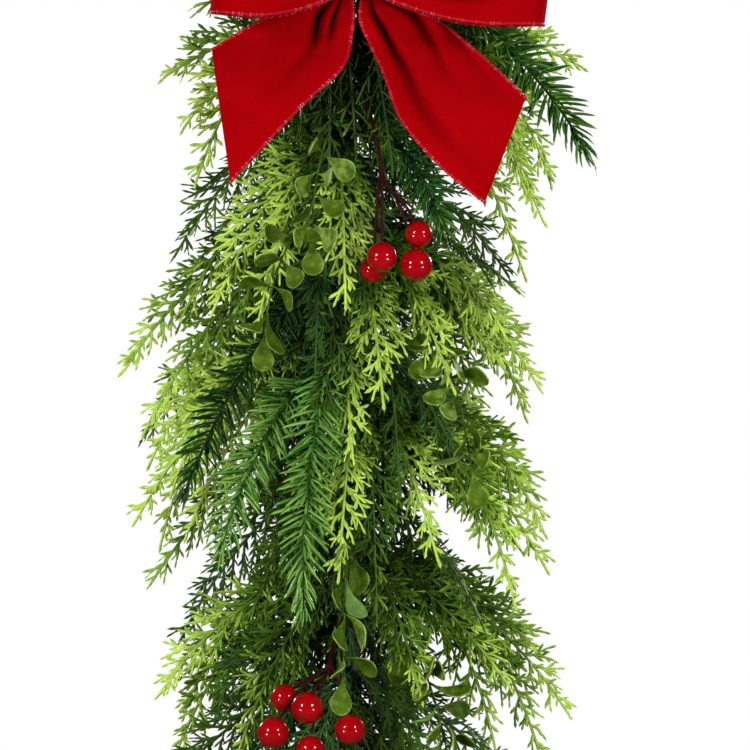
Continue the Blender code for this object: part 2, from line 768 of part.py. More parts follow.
def sight_lines():
    """Blocks in front of the bow and the berries that no frond may enter."""
    blocks = []
    for tail in (LEFT_TAIL, RIGHT_TAIL):
        edges = [tail_point(edge, 0.0) for edge in tail]
        edges += [tail_point(edge, 1.0) for edge in reversed(tail)]
        centre = sum(edges, Vector()) / len(edges)
        blocks.append(prism([centre.lerp(point, SIGHT_OF_TAIL) for point in edges], -SIGHT_FRONT))
    blocks.append(prism([mm(x, SIGHT_BACK_OF_BOW, z) for x, z in SIGHT_OF_BOW], -SIGHT_FRONT))
    for root_z, turn, fork, berries in BERRY_CLUSTERS:
        for x, y, z, radius in berries:
            outline = []
            for k in range(8):
                angle = 2 * math.pi * k / 8
                reach = SIGHT_OF_BERRY * radius
                outline.append(mm(x + reach * math.cos(angle), y, z + reach * math.sin(angle)))
            blocks.append(prism(outline, math.copysign(SIGHT_FRONT, y)))
    return blocks


def place_stem(space, name, stem, shape, siblings=()):
    """The first way of bending the stem that is clear, as its number and its parts."""
    for k in range(NUDGES):
        parts = shape(stem.nudged(k))
        if space.clear(name, parts, siblings):
            return k, parts
    return None, []


def root_place(root_z, turn):
    """Middle of a wire root beside the core, from its height in millimetres and turn in degrees."""
    return beside_core(root_z * 0.001, math.radians(turn), CORE_RADIUS + GAP + PEG_RADIUS)


def bunch_stems(root, tips, draw, most_roll, turned_share):
    """Stems of one bunch, leaving its root one above the other; a share of them faces outwards."""
    stems = []
    for i, tip in enumerate(tips):
        start = root + Vector((0.0, 0.0, ((len(tips) - 1) / 2 - i) * ROOT_SPACING))
        facing = 0.0 if draw.random() < turned_share else 1.0
        roll = math.radians(draw.uniform(-most_roll, most_roll))
        stems.append(Stem(start, tip, out=draw.uniform(*BEND_OUT), down=draw.uniform(*BEND_DOWN),
                          facing=facing, roll=roll))
    return stems


def dark_tips(number, draw):
    """Root height, turn and frond tips of one dark bunch."""
    share = number / (DARK_BUNCHES - 1)
    z = DARK_TOP + (DARK_BOTTOM - DARK_TOP) * share
    turn = GOLDEN_ANGLE * number + DARK_FIRST_TURN
    from_top = min(1.0, (DARK_TOP - z) / TOP_FADE)
    from_bottom = min(1.0, (z - DARK_BOTTOM) / BOTTOM_FADE)
    tips = []
    for i, spread in enumerate(DARK_SPREAD):
        short = i % 2 == 1
        angle = turn + math.radians(spread + draw.uniform(-SPREAD_CHANGE, SPREAD_CHANGE))
        reach = draw.uniform(*(SHORT_REACH if short else LONG_REACH))
        reach *= TOP_REACH + (1.0 - TOP_REACH) * from_top
        reach *= BOTTOM_REACH + (1.0 - BOTTOM_REACH) * from_bottom
        drop = draw.uniform(*(SHORT_DROP if short else LONG_DROP))
        drop *= TOP_DROP + (1.0 - TOP_DROP) * from_top
        if number == DARK_BUNCHES - 1:
            drop = GARLAND_LENGTH + z - LAST_TIP_STEP * i
        depth = FRONT_DEPTH if math.cos(angle) > 0 else BACK_DEPTH
        tips.append(Vector((reach * math.sin(angle), -depth * reach * math.cos(angle), z - drop)))
    return z, turn, tips


def build_bow(space):
    """The knot, its wire, two loops and two tails."""
    pieces = {
        "bow_knot": ([knot()], "velvet"),
        "bow_tie_wire": (tie_wire(), "wire"),
        "bow_loop_left": ([sheet(loop_rows(LEFT_LOOP), RIBBON_THICKNESS)], "velvet"),
        "bow_loop_right": ([sheet(loop_rows(RIGHT_LOOP), RIBBON_THICKNESS)], "velvet"),
        "bow_tail_left": ([sheet(tail_rows(LEFT_TAIL), RIBBON_THICKNESS)], "velvet"),
        "bow_tail_right": ([sheet(tail_rows(RIGHT_TAIL), RIBBON_THICKNESS)], "velvet"),
    }
    for name, (parts, finish) in pieces.items():
        space.add(name, parts)
        fuse(name, parts, finish)


def build_stem_nodes(space, plans, shape, name, finish):
    """One node for each stem in plans, bent clear of what stands there."""
    for i, (root_z, turn, out, down, tip) in enumerate(plans, 1):
        node = f"{name}_{i}"
        root = root_place(root_z, turn)
        k, parts = place_stem(space, node, Stem(root, mm(*tip), out=out, down=down), shape)
        if k is None:
            print("no room for", node)
            continue
        space.add(node, parts)
        fuse(node, [peg(root)] + parts, finish)


def build_bunch(space, node, root, stems, finish):
    """One cedar bunch: its root and every frond that finds room."""
    parts = [peg(root)]
    siblings = []
    for stem in stems:
        k, found = place_stem(space, node, stem, lambda bent: [frond(bent)], siblings)
        if k is None:
            print("no room for a frond of", node)
            continue
        parts += found
        siblings.append(leafy_tree(found[0]))
    space.add(node, parts)
    fuse(node, parts, finish)


def leafy_tree(skin):
    """The frond without its bare start, for keeping its siblings clear of it."""
    verts, faces = skin
    return BVHTree.FromPolygons(verts, [face for face in faces if min(face) > 2])


def remove_objects():
    """Start from an empty scene."""
    for item in list(bpy.data.objects):
        bpy.data.objects.remove(item)


def plan_bunches():
    """Every cedar bunch as its node's name, root, stems and finish."""
    bunches = []
    for i, (root_z, turn, tips) in enumerate(LIME_BUNCHES, 1):
        root = root_place(root_z, turn)
        draw = random.Random(LIME_SEED + i)
        stems = bunch_stems(root, [mm(*tip) for tip in tips], draw, LIME_ROLL, 0.0)
        bunches.append((f"cedar_lime_{i:02d}", root, stems, "cedar_lime"))
    for i in range(DARK_BUNCHES):
        draw = random.Random(DARK_SEED + i)
        z, turn, tips = dark_tips(i, draw)
        root = root_place(z * 1000, math.degrees(turn))
        stems = bunch_stems(root, tips, draw, DARK_ROLL, DARK_TURNED)
        bunches.append((f"cedar_dark_{i + 1:02d}", root, stems, "cedar_dark"))
    return bunches


def build_berries(space):
    """The berry clusters, each in its own node."""
    for i, (root_z, turn, fork, berries) in enumerate(BERRY_CLUSTERS, 1):
        node = f"berry_cluster_{i}"
        root = root_place(root_z, turn)
        parts = berry_cluster(root, mm(*fork), berries)
        space.add(node, parts)
        fuse(node, [peg(root)] + parts, "berry")


def main():
    remove_objects()
    space = Space()
    bunches = plan_bunches()
    space.add("core_stem", [core()])
    space.add("hanging_eye", hanging_eye())
    space.add("sight", sight_lines())
    for node, root, stems, finish in bunches:
        space.add(node, [peg(root)])
    named = (("leaf_stem", LEAF_STEMS), ("fir_sprig", FIR_SPRIGS), ("berry_cluster", BERRY_CLUSTERS))
    for name, plans in named:
        for i, plan in enumerate(plans, 1):
            space.add(f"{name}_{i}", [peg(root_place(plan[0], plan[1]))])
    fuse("core_stem", [core()], "paper")
    fuse("hanging_eye", hanging_eye(), "wire")
    build_bow(space)
    build_berries(space)
    build_stem_nodes(space, LEAF_STEMS, leaf_stem, "leaf_stem", "leaf")
    build_stem_nodes(space, FIR_SPRIGS, fir_sprig, "fir_sprig", "fir")
    for node, root, stems, finish in bunches:
        build_bunch(space, node, root, stems, finish)


main()
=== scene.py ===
# Christmas garland: mixed artificial greenery with berries and a velvet bow, hung by its wire eye.
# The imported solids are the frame. Each bunch is grown again here on the same stems, in finer pieces.

import math
import random

import bmesh
import bpy
import numpy as np
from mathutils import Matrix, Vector


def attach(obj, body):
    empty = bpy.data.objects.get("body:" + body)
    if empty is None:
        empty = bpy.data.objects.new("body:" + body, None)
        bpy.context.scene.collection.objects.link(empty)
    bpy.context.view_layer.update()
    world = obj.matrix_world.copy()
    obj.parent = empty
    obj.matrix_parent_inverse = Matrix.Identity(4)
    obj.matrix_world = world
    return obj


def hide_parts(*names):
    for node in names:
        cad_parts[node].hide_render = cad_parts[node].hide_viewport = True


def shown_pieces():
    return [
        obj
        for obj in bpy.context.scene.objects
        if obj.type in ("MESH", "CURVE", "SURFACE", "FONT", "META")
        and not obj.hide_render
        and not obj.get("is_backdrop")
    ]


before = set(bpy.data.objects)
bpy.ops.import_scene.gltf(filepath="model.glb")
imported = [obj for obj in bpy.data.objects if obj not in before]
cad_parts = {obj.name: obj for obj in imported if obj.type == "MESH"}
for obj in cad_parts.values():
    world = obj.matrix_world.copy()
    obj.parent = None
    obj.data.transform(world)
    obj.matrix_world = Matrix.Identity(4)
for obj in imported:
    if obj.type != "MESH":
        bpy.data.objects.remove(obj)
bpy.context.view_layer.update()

# Camera: level with the middle of the part in view, as far off as a product camera stands
camera = {"aim": (0.015, 0.0, -0.375), "distance": 3.0, "lens": 240}

cameraData = bpy.data.cameras.new("productCamera")
cameraData.lens = camera["lens"]
cameraData.clip_end = 50
cameraObject = bpy.data.objects.new("productCamera", cameraData)
cameraObject.location = Vector(camera["aim"]) - Vector((0, camera["distance"], 0))
cameraObject.rotation_euler = (math.radians(90), 0, 0)
bpy.context.scene.collection.objects.link(cameraObject)
bpy.context.scene.camera = cameraObject


# The garland's layout, as the solids have it
garland = {
    "length": 0.914, "coreRadius": 0.006, "coreTop": -0.030, "coreBottom": -0.800, "gap": 0.0003,
    "pegRadius": 0.0021, "pegHalf": 0.006, "rootSpacing": 0.0017, "stemOut": (0.50, 0.66),
    "stemDown": (0.12, 0.26),
}
nudge = {"ways": 70, "turn": math.radians(38), "reach": 0.26, "drop": 0.24, "roll": math.radians(75)}
limeBunches = (
    (-148, 75, ((135, -6, -186), (117, -14, -283), (98, -22, -232), (106, 8, -318))),
    (-156, -80, ((-100, -8, -228), (-92, -30, -262), (-112, 6, -196))),
    (-229, -38, ((-81, -50, -338), (-54, -62, -352), (-2, -80, -334))),
    (-285, -70, ((-135, -18, -373), (-124, -32, -412), (-96, -10, -398))),
    (-292, 25, ((20, -80, -392), (66, -56, -384), (92, -28, -372), (114, -12, -384))),
    (-345, -70, ((-130, -24, -460), (-94, -40, -468), (-6, -80, -414))),
    (-382, 35, ((-6, -82, -494), (52, -62, -484), (100, -28, -476), (106, -10, -440), (118, 0, -492))),
    (-492, -70, ((-114, -22, -566), (-106, -12, -606), (-66, -58, -598))),
    (-482, 50, ((44, -74, -566), (95, -44, -560), (131, -14, -578), (112, 6, -540))),
    (-604, -20, ((-58, -66, -716), (14, -82, -722), (-104, -28, -694))),
    (-726, 50, ((70, -48, -836), (26, -62, -848), (-34, -56, -842))),
    (-72, 15, ((62, -24, -128), (-58, -26, -124), (10, -32, -150))),
    (-262, 168, ((52, 66, -366), (-40, 72, -372), (4, 80, -352))),
    (-566, -165, ((-62, 62, -672), (34, 74, -684), (-10, 82, -656))),
)
lime = {"seed": 40, "roll": 18, "turned": 0.0}
dark = {
    "bunches": 20, "top": -0.044, "bottom": -0.785, "firstTurn": 0.5, "spread": (-80, -40, 0, 40, 80),
    "spreadChange": 13, "longReach": (0.094, 0.128), "longDrop": (0.050, 0.115),
    "shortReach": (0.046, 0.072), "shortDrop": (0.090, 0.130), "frontDepth": 0.66, "backDepth": 0.70,
    "topFade": 0.12, "bottomFade": 0.16, "topReach": 0.78, "topDrop": 0.20, "bottomReach": 0.62,
    "lastTipStep": 0.007, "seed": 100, "roll": 42, "turned": 0.42,
}
firPlans = (
    (-338, 0, 0.92, 0.22, (-23, -82, -514)),
    (-354, -32, 0.66, 0.30, (-77, -66, -481)),
    (-306, -60, 0.60, 0.30, (-99, -46, -449)),
    (-126, 75, 0.62, 0.22, (143, -14, -244)),
    (-216, 45, 0.70, 0.30, (56, -60, -292)),
    (-556, -75, 0.60, 0.25, (-98, -30, -676)),
    (-640, 28, 0.72, 0.25, (42, -72, -772)),
    (-414, 165, 0.70, 0.25, (-16, 78, -540)),
)
leafPlans = (
    (-214, -15, 0.95, 0.35, (-22, -82, -296)),
    (-262, -55, 0.85, 0.30, (-50, -72, -352)),
    (-306, 50, 0.85, 0.25, (72, -70, -434)),
    (-452, -6, 0.98, 0.20, (-4, -84, -556)),
    (-498, 28, 0.80, 0.30, (58, -76, -602)),
    (-646, -40, 0.85, 0.30, (-44, -72, -752)),
)
berryPlans = (
    (-198, 10, (20, -72, -264),
     ((40.6, -84, -292.9, 8.0), (39.0, -89, -310.9, 9.6), (19.0, -86, -306.3, 9.0), (14.0, -67, -313, 8.2))),
    (-516, -14, (-12, -74, -550),
     ((-24.6, -88, -568.9, 9.5), (-38, -74, -564, 8.2), (-44.4, -86, -583.5, 9.3), (0.4, -84, -581.8, 9.1),
      (-22.9, -80, -594, 8.6))),
    (-706, 8, (8, -72, -752),
     ((20, -82, -772, 9.2), (0, -80, -776, 9.0), (10, -74, -794, 8.8), (-10, -66, -757, 8.4))),
    (-378, -160, (-24, 70, -440),
     ((-36, 80, -460, 9.2), (-14, 82, -464, 9.0), (-28, 76, -482, 8.8), (-44, 68, -444, 8.4))),
)
goldenAngle = math.radians(137.508)


def mm(*values):
    return np.array(values, float) * 0.001


def between(first, second, share):
    return first + (second - first) * share


def swing(draw, most, *shape):
    # a draw to either side of nothing
    return draw.uniform(-most, most, *shape)


def unit(vectors):
    return vectors / np.linalg.norm(vectors, axis=-1, keepdims=True)


def corePoint(z):
    return np.array((0.0025 * math.sin(11 * z), 0.0015 * math.sin(16 * z + 1), z))


def besideCore(z, turn, distance):
    return corePoint(z) + distance * np.array((math.sin(turn), -math.cos(turn), 0))


def rootPlace(rootZ, turn):
    distance = garland["coreRadius"] + garland["gap"] + garland["pegRadius"]
    return besideCore(rootZ * 0.001, math.radians(turn), distance)


def wobble(k, step):
    return 2 * ((k * step) % 1) - 1


class Stem:
    # a drooping stem: a quadratic curve from the core to its tip, rolled about its own line
    def __init__(self, root, tip, out, down, facing=1.0, roll=0.0):
        self.root = np.array(root, float)
        self.tip = np.array(tip, float)
        self.out = out
        self.down = down
        self.facing = facing
        self.roll = roll
        self.bend = self.root + (self.tip - self.root) * (out, out, down)

    def nudged(self, k):
        # bent aside in the k-th way, as the solids are where something stood in the way
        if k == 0:
            return self
        size = (k + 3) / (nudge["ways"] + 3)
        turn = nudge["turn"] * size * wobble(k, 0.6180)
        wider = 1 + nudge["reach"] * size * wobble(k, 0.7549)
        longer = 1 + nudge["drop"] * size * wobble(k, 0.5698)
        x, y, z = self.tip - self.root
        cos, sin = math.cos(turn), math.sin(turn)
        turned = np.array((x * cos - y * sin, x * sin + y * cos, 0))
        tip = self.root + turned * wider + (0, 0, z * longer)
        roll = self.roll + nudge["roll"] * size * wobble(k, 0.3247)
        return Stem(self.root, tip, self.out, self.down, self.facing, roll)

    def frame(self, shares):
        # point, direction, side and face at each share of the curve
        s = np.atleast_1d(np.array(shares, float))[:, None]
        point = (1 - s) ** 2 * self.root + 2 * s * (1 - s) * self.bend + s * s * self.tip
        along = unit((1 - s) * (self.bend - self.root) + s * (self.tip - self.bend))
        middle = unit(self.tip - self.root)
        flat = unit(np.cross(self.bend - self.root, self.tip - self.bend))
        toFront = math.atan2(-flat[1], np.cross(flat, middle)[1])
        roll = self.facing * toFront + self.roll
        side = math.cos(roll) * flat + math.sin(roll) * np.cross(flat, along)
        return point, along, side, np.cross(along, side)

    def at(self, share):
        return tuple(value[0] for value in self.frame(share))

    def length(self):
        polygon = np.linalg.norm(self.bend - self.root) + np.linalg.norm(self.tip - self.bend)
        return (polygon + np.linalg.norm(self.tip - self.root)) / 2


def bunchStems(root, tips, draw, look):
    stems = []
    for i, tip in enumerate(tips):
        start = root + (0, 0, ((len(tips) - 1) / 2 - i) * garland["rootSpacing"])
        facing = 0.0 if draw.random() < look["turned"] else 1.0
        roll = math.radians(swing(draw, look["roll"]))
        out = draw.uniform(*garland["stemOut"])
        down = draw.uniform(*garland["stemDown"])
        stems.append(Stem(start, tip, out, down, facing, roll))
    return stems


def darkTips(number, draw):
    share = number / (dark["bunches"] - 1)
    z = dark["top"] + (dark["bottom"] - dark["top"]) * share
    turn = goldenAngle * number + dark["firstTurn"]
    fromTop = min(1, (dark["top"] - z) / dark["topFade"])
    fromBottom = min(1, (z - dark["bottom"]) / dark["bottomFade"])
    tips = []
    for i, spread in enumerate(dark["spread"]):
        kind = "short" if i % 2 == 1 else "long"
        angle = turn + math.radians(spread + swing(draw, dark["spreadChange"]))
        reach = draw.uniform(*dark[kind + "Reach"])
        reach *= dark["topReach"] + (1 - dark["topReach"]) * fromTop
        reach *= dark["bottomReach"] + (1 - dark["bottomReach"]) * fromBottom
        drop = draw.uniform(*dark[kind + "Drop"])
        drop *= dark["topDrop"] + (1 - dark["topDrop"]) * fromTop
        if number == dark["bunches"] - 1:
            drop = garland["length"] + z - dark["lastTipStep"] * i
        depth = dark["frontDepth"] if math.cos(angle) > 0 else dark["backDepth"]
        tips.append((reach * math.sin(angle), -depth * reach * math.cos(angle), z - drop))
    return z, turn, tips


def cadPoints(node):
    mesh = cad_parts[node].data
    points = np.zeros(len(mesh.vertices) * 3)
    mesh.vertices.foreach_get("co", points)
    return points.reshape(-1, 3)


def asBuilt(node, stem, mark, near=0.00006):
    # the way in which the solid of this stem was bent, or None where it found no room
    points = cadPoints(node)
    for k in range(nudge["ways"]):
        bent = stem.nudged(k)
        if np.linalg.norm(points - mark(bent), axis=1).min() < near:
            return bent
    return None


def builtOf(node, stem, look):
    # a sprig or a leaf stem is known by where its solid's last needle or leaf ends
    def mark(way):
        point, along, side, face = way.at(look["stemEnd"])
        return point + look["solidTip"] * along

    return asBuilt(node, stem, mark) or stem


# Nodes that make what repeats

def fill(tree, node, values):
    # each input gets a plain value, or a link from another node's socket
    for name, value in values.items():
        if isinstance(value, bpy.types.NodeSocket):
            tree.links.new(value, node.inputs[name])
        else:
            node.inputs[name].default_value = value


def addNode(tree, kind, inputs=None, take=0, **settings):
    # gives back the output to take from the new node
    made = tree.nodes.new(kind)
    for name, value in settings.items():
        setattr(made, name, value)
    fill(tree, made, inputs or {})
    return made.outputs[take]


def addMath(tree, operation, *values):
    return addNode(tree, "ShaderNodeMath", dict(enumerate(values)), operation=operation)


def newTree(name, kind, inputs, outputs):
    # an empty node tree, with what it is given and what it gives back
    tree = bpy.data.node_groups.new(name, kind)
    for way, sockets in (("INPUT", inputs), ("OUTPUT", outputs)):
        for label, holds in sockets.items():
            tree.interface.new_socket(label, in_out=way, socket_type="NodeSocket" + holds)
    start = tree.nodes.new("NodeGroupInput")
    end = tree.nodes.new("NodeGroupOutput")
    return tree, start.outputs, end.inputs


def attribute(tree, name, kind="FLOAT"):
    return addNode(tree, "GeometryNodeInputNamedAttribute", {"Name": name}, "Attribute", data_type=kind)


def aimed(tree, primary, turn):
    # a leaf or stitch turned along its own way, its face where "facing" points, then turned once more
    aim = addNode(tree, "FunctionNodeAxesToRotation", {
        "Primary Axis": primary, "Secondary Axis": attribute(tree, "facing", "FLOAT_VECTOR"),
    }, primary_axis="Z", secondary_axis="Y")
    return addNode(tree, "FunctionNodeRotateRotation", {
        "Rotation": aim, "Rotate By": addNode(tree, "FunctionNodeEulerToRotation", {"Euler": turn}),
    }, rotation_space="LOCAL")


def painted(tree, geometry, material):
    return addNode(tree, "GeometryNodeSetMaterial", {"Geometry": geometry, "Material": material})


def makeSprayTree():
    # leaves on the loose points of a spray, and tubes along its edges
    tree, given, out = newTree("growSpray", "GeometryNodeTree", {
        "Geometry": "Geometry", "Leaf": "Object", "Leaf Width": "Float", "Untidiness": "Float",
        "Twig Sides": "Int", "Seed": "Int", "Leaf Material": "Material", "Twig Material": "Material",
    }, {"Geometry": "Geometry"})
    other = addMath(tree, "MULTIPLY", given["Untidiness"], -1.0)
    shake = addNode(tree, "FunctionNodeRandomValue", {
        0: other, 1: given["Untidiness"], "Seed": given["Seed"]}, data_type="FLOAT_VECTOR")
    size = attribute(tree, "size")
    width = addMath(tree, "MULTIPLY", size, given["Leaf Width"])
    leaves = addNode(tree, "GeometryNodeInstanceOnPoints", {
        "Points": given["Geometry"], "Selection": attribute(tree, "leafy", "BOOLEAN"),
        "Instance": addNode(tree, "GeometryNodeObjectInfo", {"Object": given["Leaf"]}, "Geometry"),
        "Rotation": aimed(tree, attribute(tree, "heading", "FLOAT_VECTOR"), shake),
        "Scale": addNode(tree, "ShaderNodeCombineXYZ", {"X": width, "Y": width, "Z": size}),
    })
    solidLeaves = addNode(tree, "GeometryNodeRealizeInstances", {"Geometry": leaves})
    thick = addNode(tree, "GeometryNodeSetCurveRadius", {
        "Curve": addNode(tree, "GeometryNodeMeshToCurve", {"Mesh": given["Geometry"]}),
        "Radius": attribute(tree, "thick")})
    tubes = addNode(tree, "GeometryNodeCurveToMesh", {
        "Curve": thick, "Scale": attribute(tree, "thick"), "Fill Caps": True,
        "Profile Curve": addNode(tree, "GeometryNodeCurvePrimitiveCircle", {
            "Resolution": given["Twig Sides"], "Radius": 1.0})})
    smooth = addNode(tree, "GeometryNodeSetShadeSmooth", {"Geometry": tubes})
    both = tree.nodes.new("GeometryNodeJoinGeometry")
    tree.links.new(painted(tree, smooth, given["Twig Material"]), both.inputs[0])
    tree.links.new(painted(tree, solidLeaves, given["Leaf Material"]), both.inputs[0])
    tree.links.new(both.outputs[0], out["Geometry"])
    return tree


def makeStitchTree():
    # stitches laid at an even spacing along the edges of a line
    tree, given, out = newTree("layStitches", "GeometryNodeTree", {
        "Geometry": "Geometry", "Stitch": "Object", "Spacing": "Float", "Size": "Float", "Slant": "Float",
        "Seed": "Int", "Material": "Material",
    }, {"Geometry": "Geometry"})
    line = addNode(tree, "GeometryNodeMeshToCurve", {"Mesh": given["Geometry"]})
    even = addNode(tree, "GeometryNodeResampleCurve", {"Curve": line, "Length": given["Spacing"]},
                   mode="LENGTH")
    glint = addNode(tree, "FunctionNodeRandomValue", {"Seed": given["Seed"]}, 1, data_type="FLOAT")
    marked = addNode(tree, "GeometryNodeStoreNamedAttribute", {
        "Geometry": even, "Name": "tint", "Value": glint}, data_type="FLOAT", domain="POINT")
    placed = addNode(tree, "GeometryNodeInstanceOnPoints", {
        "Points": marked, "Scale": given["Size"],
        "Instance": addNode(tree, "GeometryNodeObjectInfo", {"Object": given["Stitch"]}, "Geometry"),
        "Rotation": aimed(tree, addNode(tree, "GeometryNodeInputTangent"),
                          addNode(tree, "ShaderNodeCombineXYZ", {"Y": given["Slant"]}))})
    solid = addNode(tree, "GeometryNodeRealizeInstances", {"Geometry": placed})
    tree.links.new(painted(tree, solid, given["Material"]), out["Geometry"])
    return tree


def grow(name, source, tree, values):
    # runs the tree on the source and keeps its result as a plain mesh
    modifier = source.modifiers.new("grow", "NODES")
    modifier.node_group = tree
    for item in tree.interface.items_tree:
        if item.in_out == "INPUT" and item.name in values:
            modifier[item.identifier] = values[item.name]
    seen = source.evaluated_get(bpy.context.evaluated_depsgraph_get())
    mesh = bpy.data.meshes.new_from_object(seen)
    source.modifiers.remove(modifier)
    bpy.data.objects.remove(source)
    mesh.name = name
    return linked(name, mesh)


def linked(name, mesh):
    made = bpy.data.objects.new(name, mesh)
    bpy.context.scene.collection.objects.link(made)
    return made


def keep(piece, slotName, *nodes):
    # a finished piece rides on the garland and stands for its solids
    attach(piece, "root")
    if nodes:
        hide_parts(*nodes)
    return piece


def setMark(mesh, label, kind, values):
    field = "vector" if kind == "FLOAT_VECTOR" else "value"
    mesh.attributes.new(label, kind, "POINT").data.foreach_set(field, values.ravel())


def meshFrom(name, points, faces, material, smooth=True, marks=None, edges=()):
    mesh = bpy.data.meshes.new(name)
    mesh.from_pydata([tuple(point) for point in points], edges, [tuple(face) for face in faces])
    for label, values in (marks or {}).items():
        setMark(mesh, label, "FLOAT", np.array(values, np.float32))
    mesh.shade_smooth() if smooth else mesh.shade_flat()
    if material:
        mesh.materials.append(material)
    return linked(name, mesh)


def tubeFaces(rings, sides):
    # faces between rings of points, and one at each end
    faces = []
    for i in range(rings - 1):
        for k in range(sides):
            a = i * sides + k
            b = i * sides + (k + 1) % sides
            faces.append((a, b, b + sides, a + sides))
    last = (rings - 1) * sides
    return faces + [tuple(range(sides - 1, -1, -1)), tuple(range(last, last + sides))]


def slabFaces(rows, width):
    # faces of a thin closed slab of two layers, each of so many rows of points
    layer = rows * width
    faces = []
    for i in range(rows - 1):
        for j in range(width - 1):
            a = i * width + j
            b = a + layer
            faces.append((a, a + width, a + width + 1, a + 1))
            faces.append((b, b + 1, b + width + 1, b + width))
    rim = list(range(width - 1)) + [i * width + width - 1 for i in range(rows - 1)]
    rim += [layer - 1 - j for j in range(width - 1)] + [i * width for i in range(rows - 1, 0, -1)]
    return faces + [(a, b, b + layer, a + layer) for a, b in zip(rim, rim[1:] + rim[:1])]


# how far the painted shade near the core and the lighter green further out reach
coreShading = {"darkest": 0.22, "darkTo": 0.012, "fullFrom": 0.060, "lightFrom": 0.070, "lightTo": 0.115}


def rising(value, low, high):
    return np.clip((value - low) / (high - low), 0, 1)


def coreShadeOuterLight(points, tint, outerLight):
    # painted shade: the green is painted darker near the core, where the fronds shade each other, and is
    # lighter towards the outside
    reach = np.hypot(points[:, 0], points[:, 1])
    shade = coreShading["darkest"] + (1 - coreShading["darkest"]) * rising(reach, coreShading["darkTo"], coreShading["fullFrom"])
    return tint * shade + outerLight * rising(reach, coreShading["lightFrom"], coreShading["lightTo"])


bowHollow = {"x": 0.010, "halfWidth": 0.055, "bottom": -0.225, "top": -0.115, "front": -0.018, "turn": -0.175,
             "slope": 0.5}


def clearOfBow(points):
    # no leaflet stands in the folds of the bow's tails or its knot
    x, y, z = points.T
    front = bowHollow["front"] + bowHollow["slope"] * np.minimum(0, z - bowHollow["turn"])
    across = np.abs(x - bowHollow["x"]) < bowHollow["halfWidth"]
    return ~(across & (z > bowHollow["bottom"]) & (z < bowHollow["top"]) & (y < front))


class Spray:
    # loose points for leaves and edges for twigs, each with what the nodes need to know
    kinds = {"leafy": "BOOLEAN", "heading": "FLOAT_VECTOR", "facing": "FLOAT_VECTOR", "size": "FLOAT",
             "thick": "FLOAT", "tint": "FLOAT", "cool": "FLOAT"}

    def __init__(self, outerLight=0.0):
        self.outerLight = outerLight
        self.points = []
        self.edges = []
        self.marks = {label: [] for label in self.kinds}
        self.count = 0

    def add(self, points, **marks):
        for label, kind in self.kinds.items():
            shape = (len(points), 3) if kind == "FLOAT_VECTOR" else (len(points),)
            self.marks[label].append(np.broadcast_to(np.array(marks.get(label, 0.0), float), shape))
        self.points.append(points)
        self.count += len(points)

    def leaves(self, points, heading, facing, size, tint, cool):
        self.add(points, leafy=clearOfBow(points), heading=heading, facing=facing, size=size,
                 tint=coreShadeOuterLight(points, tint, self.outerLight), cool=cool)

    def oneLeaf(self, point, heading, facing, size, tint, cool):
        self.leaves(point[None], heading[None], facing[None], size, tint, cool)

    def twig(self, points, thick, tint, cool):
        self.edges += [(self.count + i, self.count + i + 1) for i in range(len(points) - 1)]
        self.add(points, thick=thick, tint=coreShadeOuterLight(points, tint, self.outerLight), cool=cool)

    def grown(self, name, seed, leaf, leafWidth, untidiness, twigSides, leafMaterial, twigMaterial):
        mesh = bpy.data.meshes.new(name + "Plan")
        mesh.vertices.add(self.count)
        mesh.vertices.foreach_set("co", np.concatenate(self.points).astype(np.float32).ravel())
        mesh.edges.add(len(self.edges))
        mesh.edges.foreach_set("vertices", np.array(self.edges, np.int32).ravel())
        for label, kind in self.kinds.items():
            values = np.concatenate(self.marks[label])
            setMark(mesh, label, kind, values > 0.5 if kind == "BOOLEAN" else values.astype(np.float32))
        return grow(name, linked(mesh.name, mesh), sprayTree, {
            "Leaf": leaf, "Leaf Width": leafWidth, "Untidiness": untidiness, "Twig Sides": twigSides,
            "Seed": seed, "Leaf Material": leafMaterial, "Twig Material": twigMaterial})


# Materials

def mixColours(tree, factor, *colours):
    # plain colours are given as red, green and blue
    first, second = (value if isinstance(value, bpy.types.NodeSocket) else (*value, 1) for value in colours)
    return addNode(tree, "ShaderNodeMix", {0: factor, 6: first, 7: second}, 2, data_type="RGBA")


def mapRange(tree, value, low, high, toLow, toHigh):
    return addNode(tree, "ShaderNodeMapRange", {
        "Value": value, "From Min": low, "From Max": high, "To Min": toLow, "To Max": toHigh})


def markOf(tree, name):
    return addNode(tree, "ShaderNodeAttribute", None, "Fac", attribute_name=name)


def addNoise(tree, scale, detail, distortion=0.0):
    # noise that keeps its place on the piece
    place = addNode(tree, "ShaderNodeTexCoord", None, "Object")
    return addNode(tree, "ShaderNodeTexNoise", {
        "Vector": place, "Scale": scale, "Detail": detail, "Distortion": distortion})


def addBump(tree, height, strength, distance):
    return addNode(tree, "ShaderNodeBump", {"Height": height, "Strength": strength, "Distance": distance})


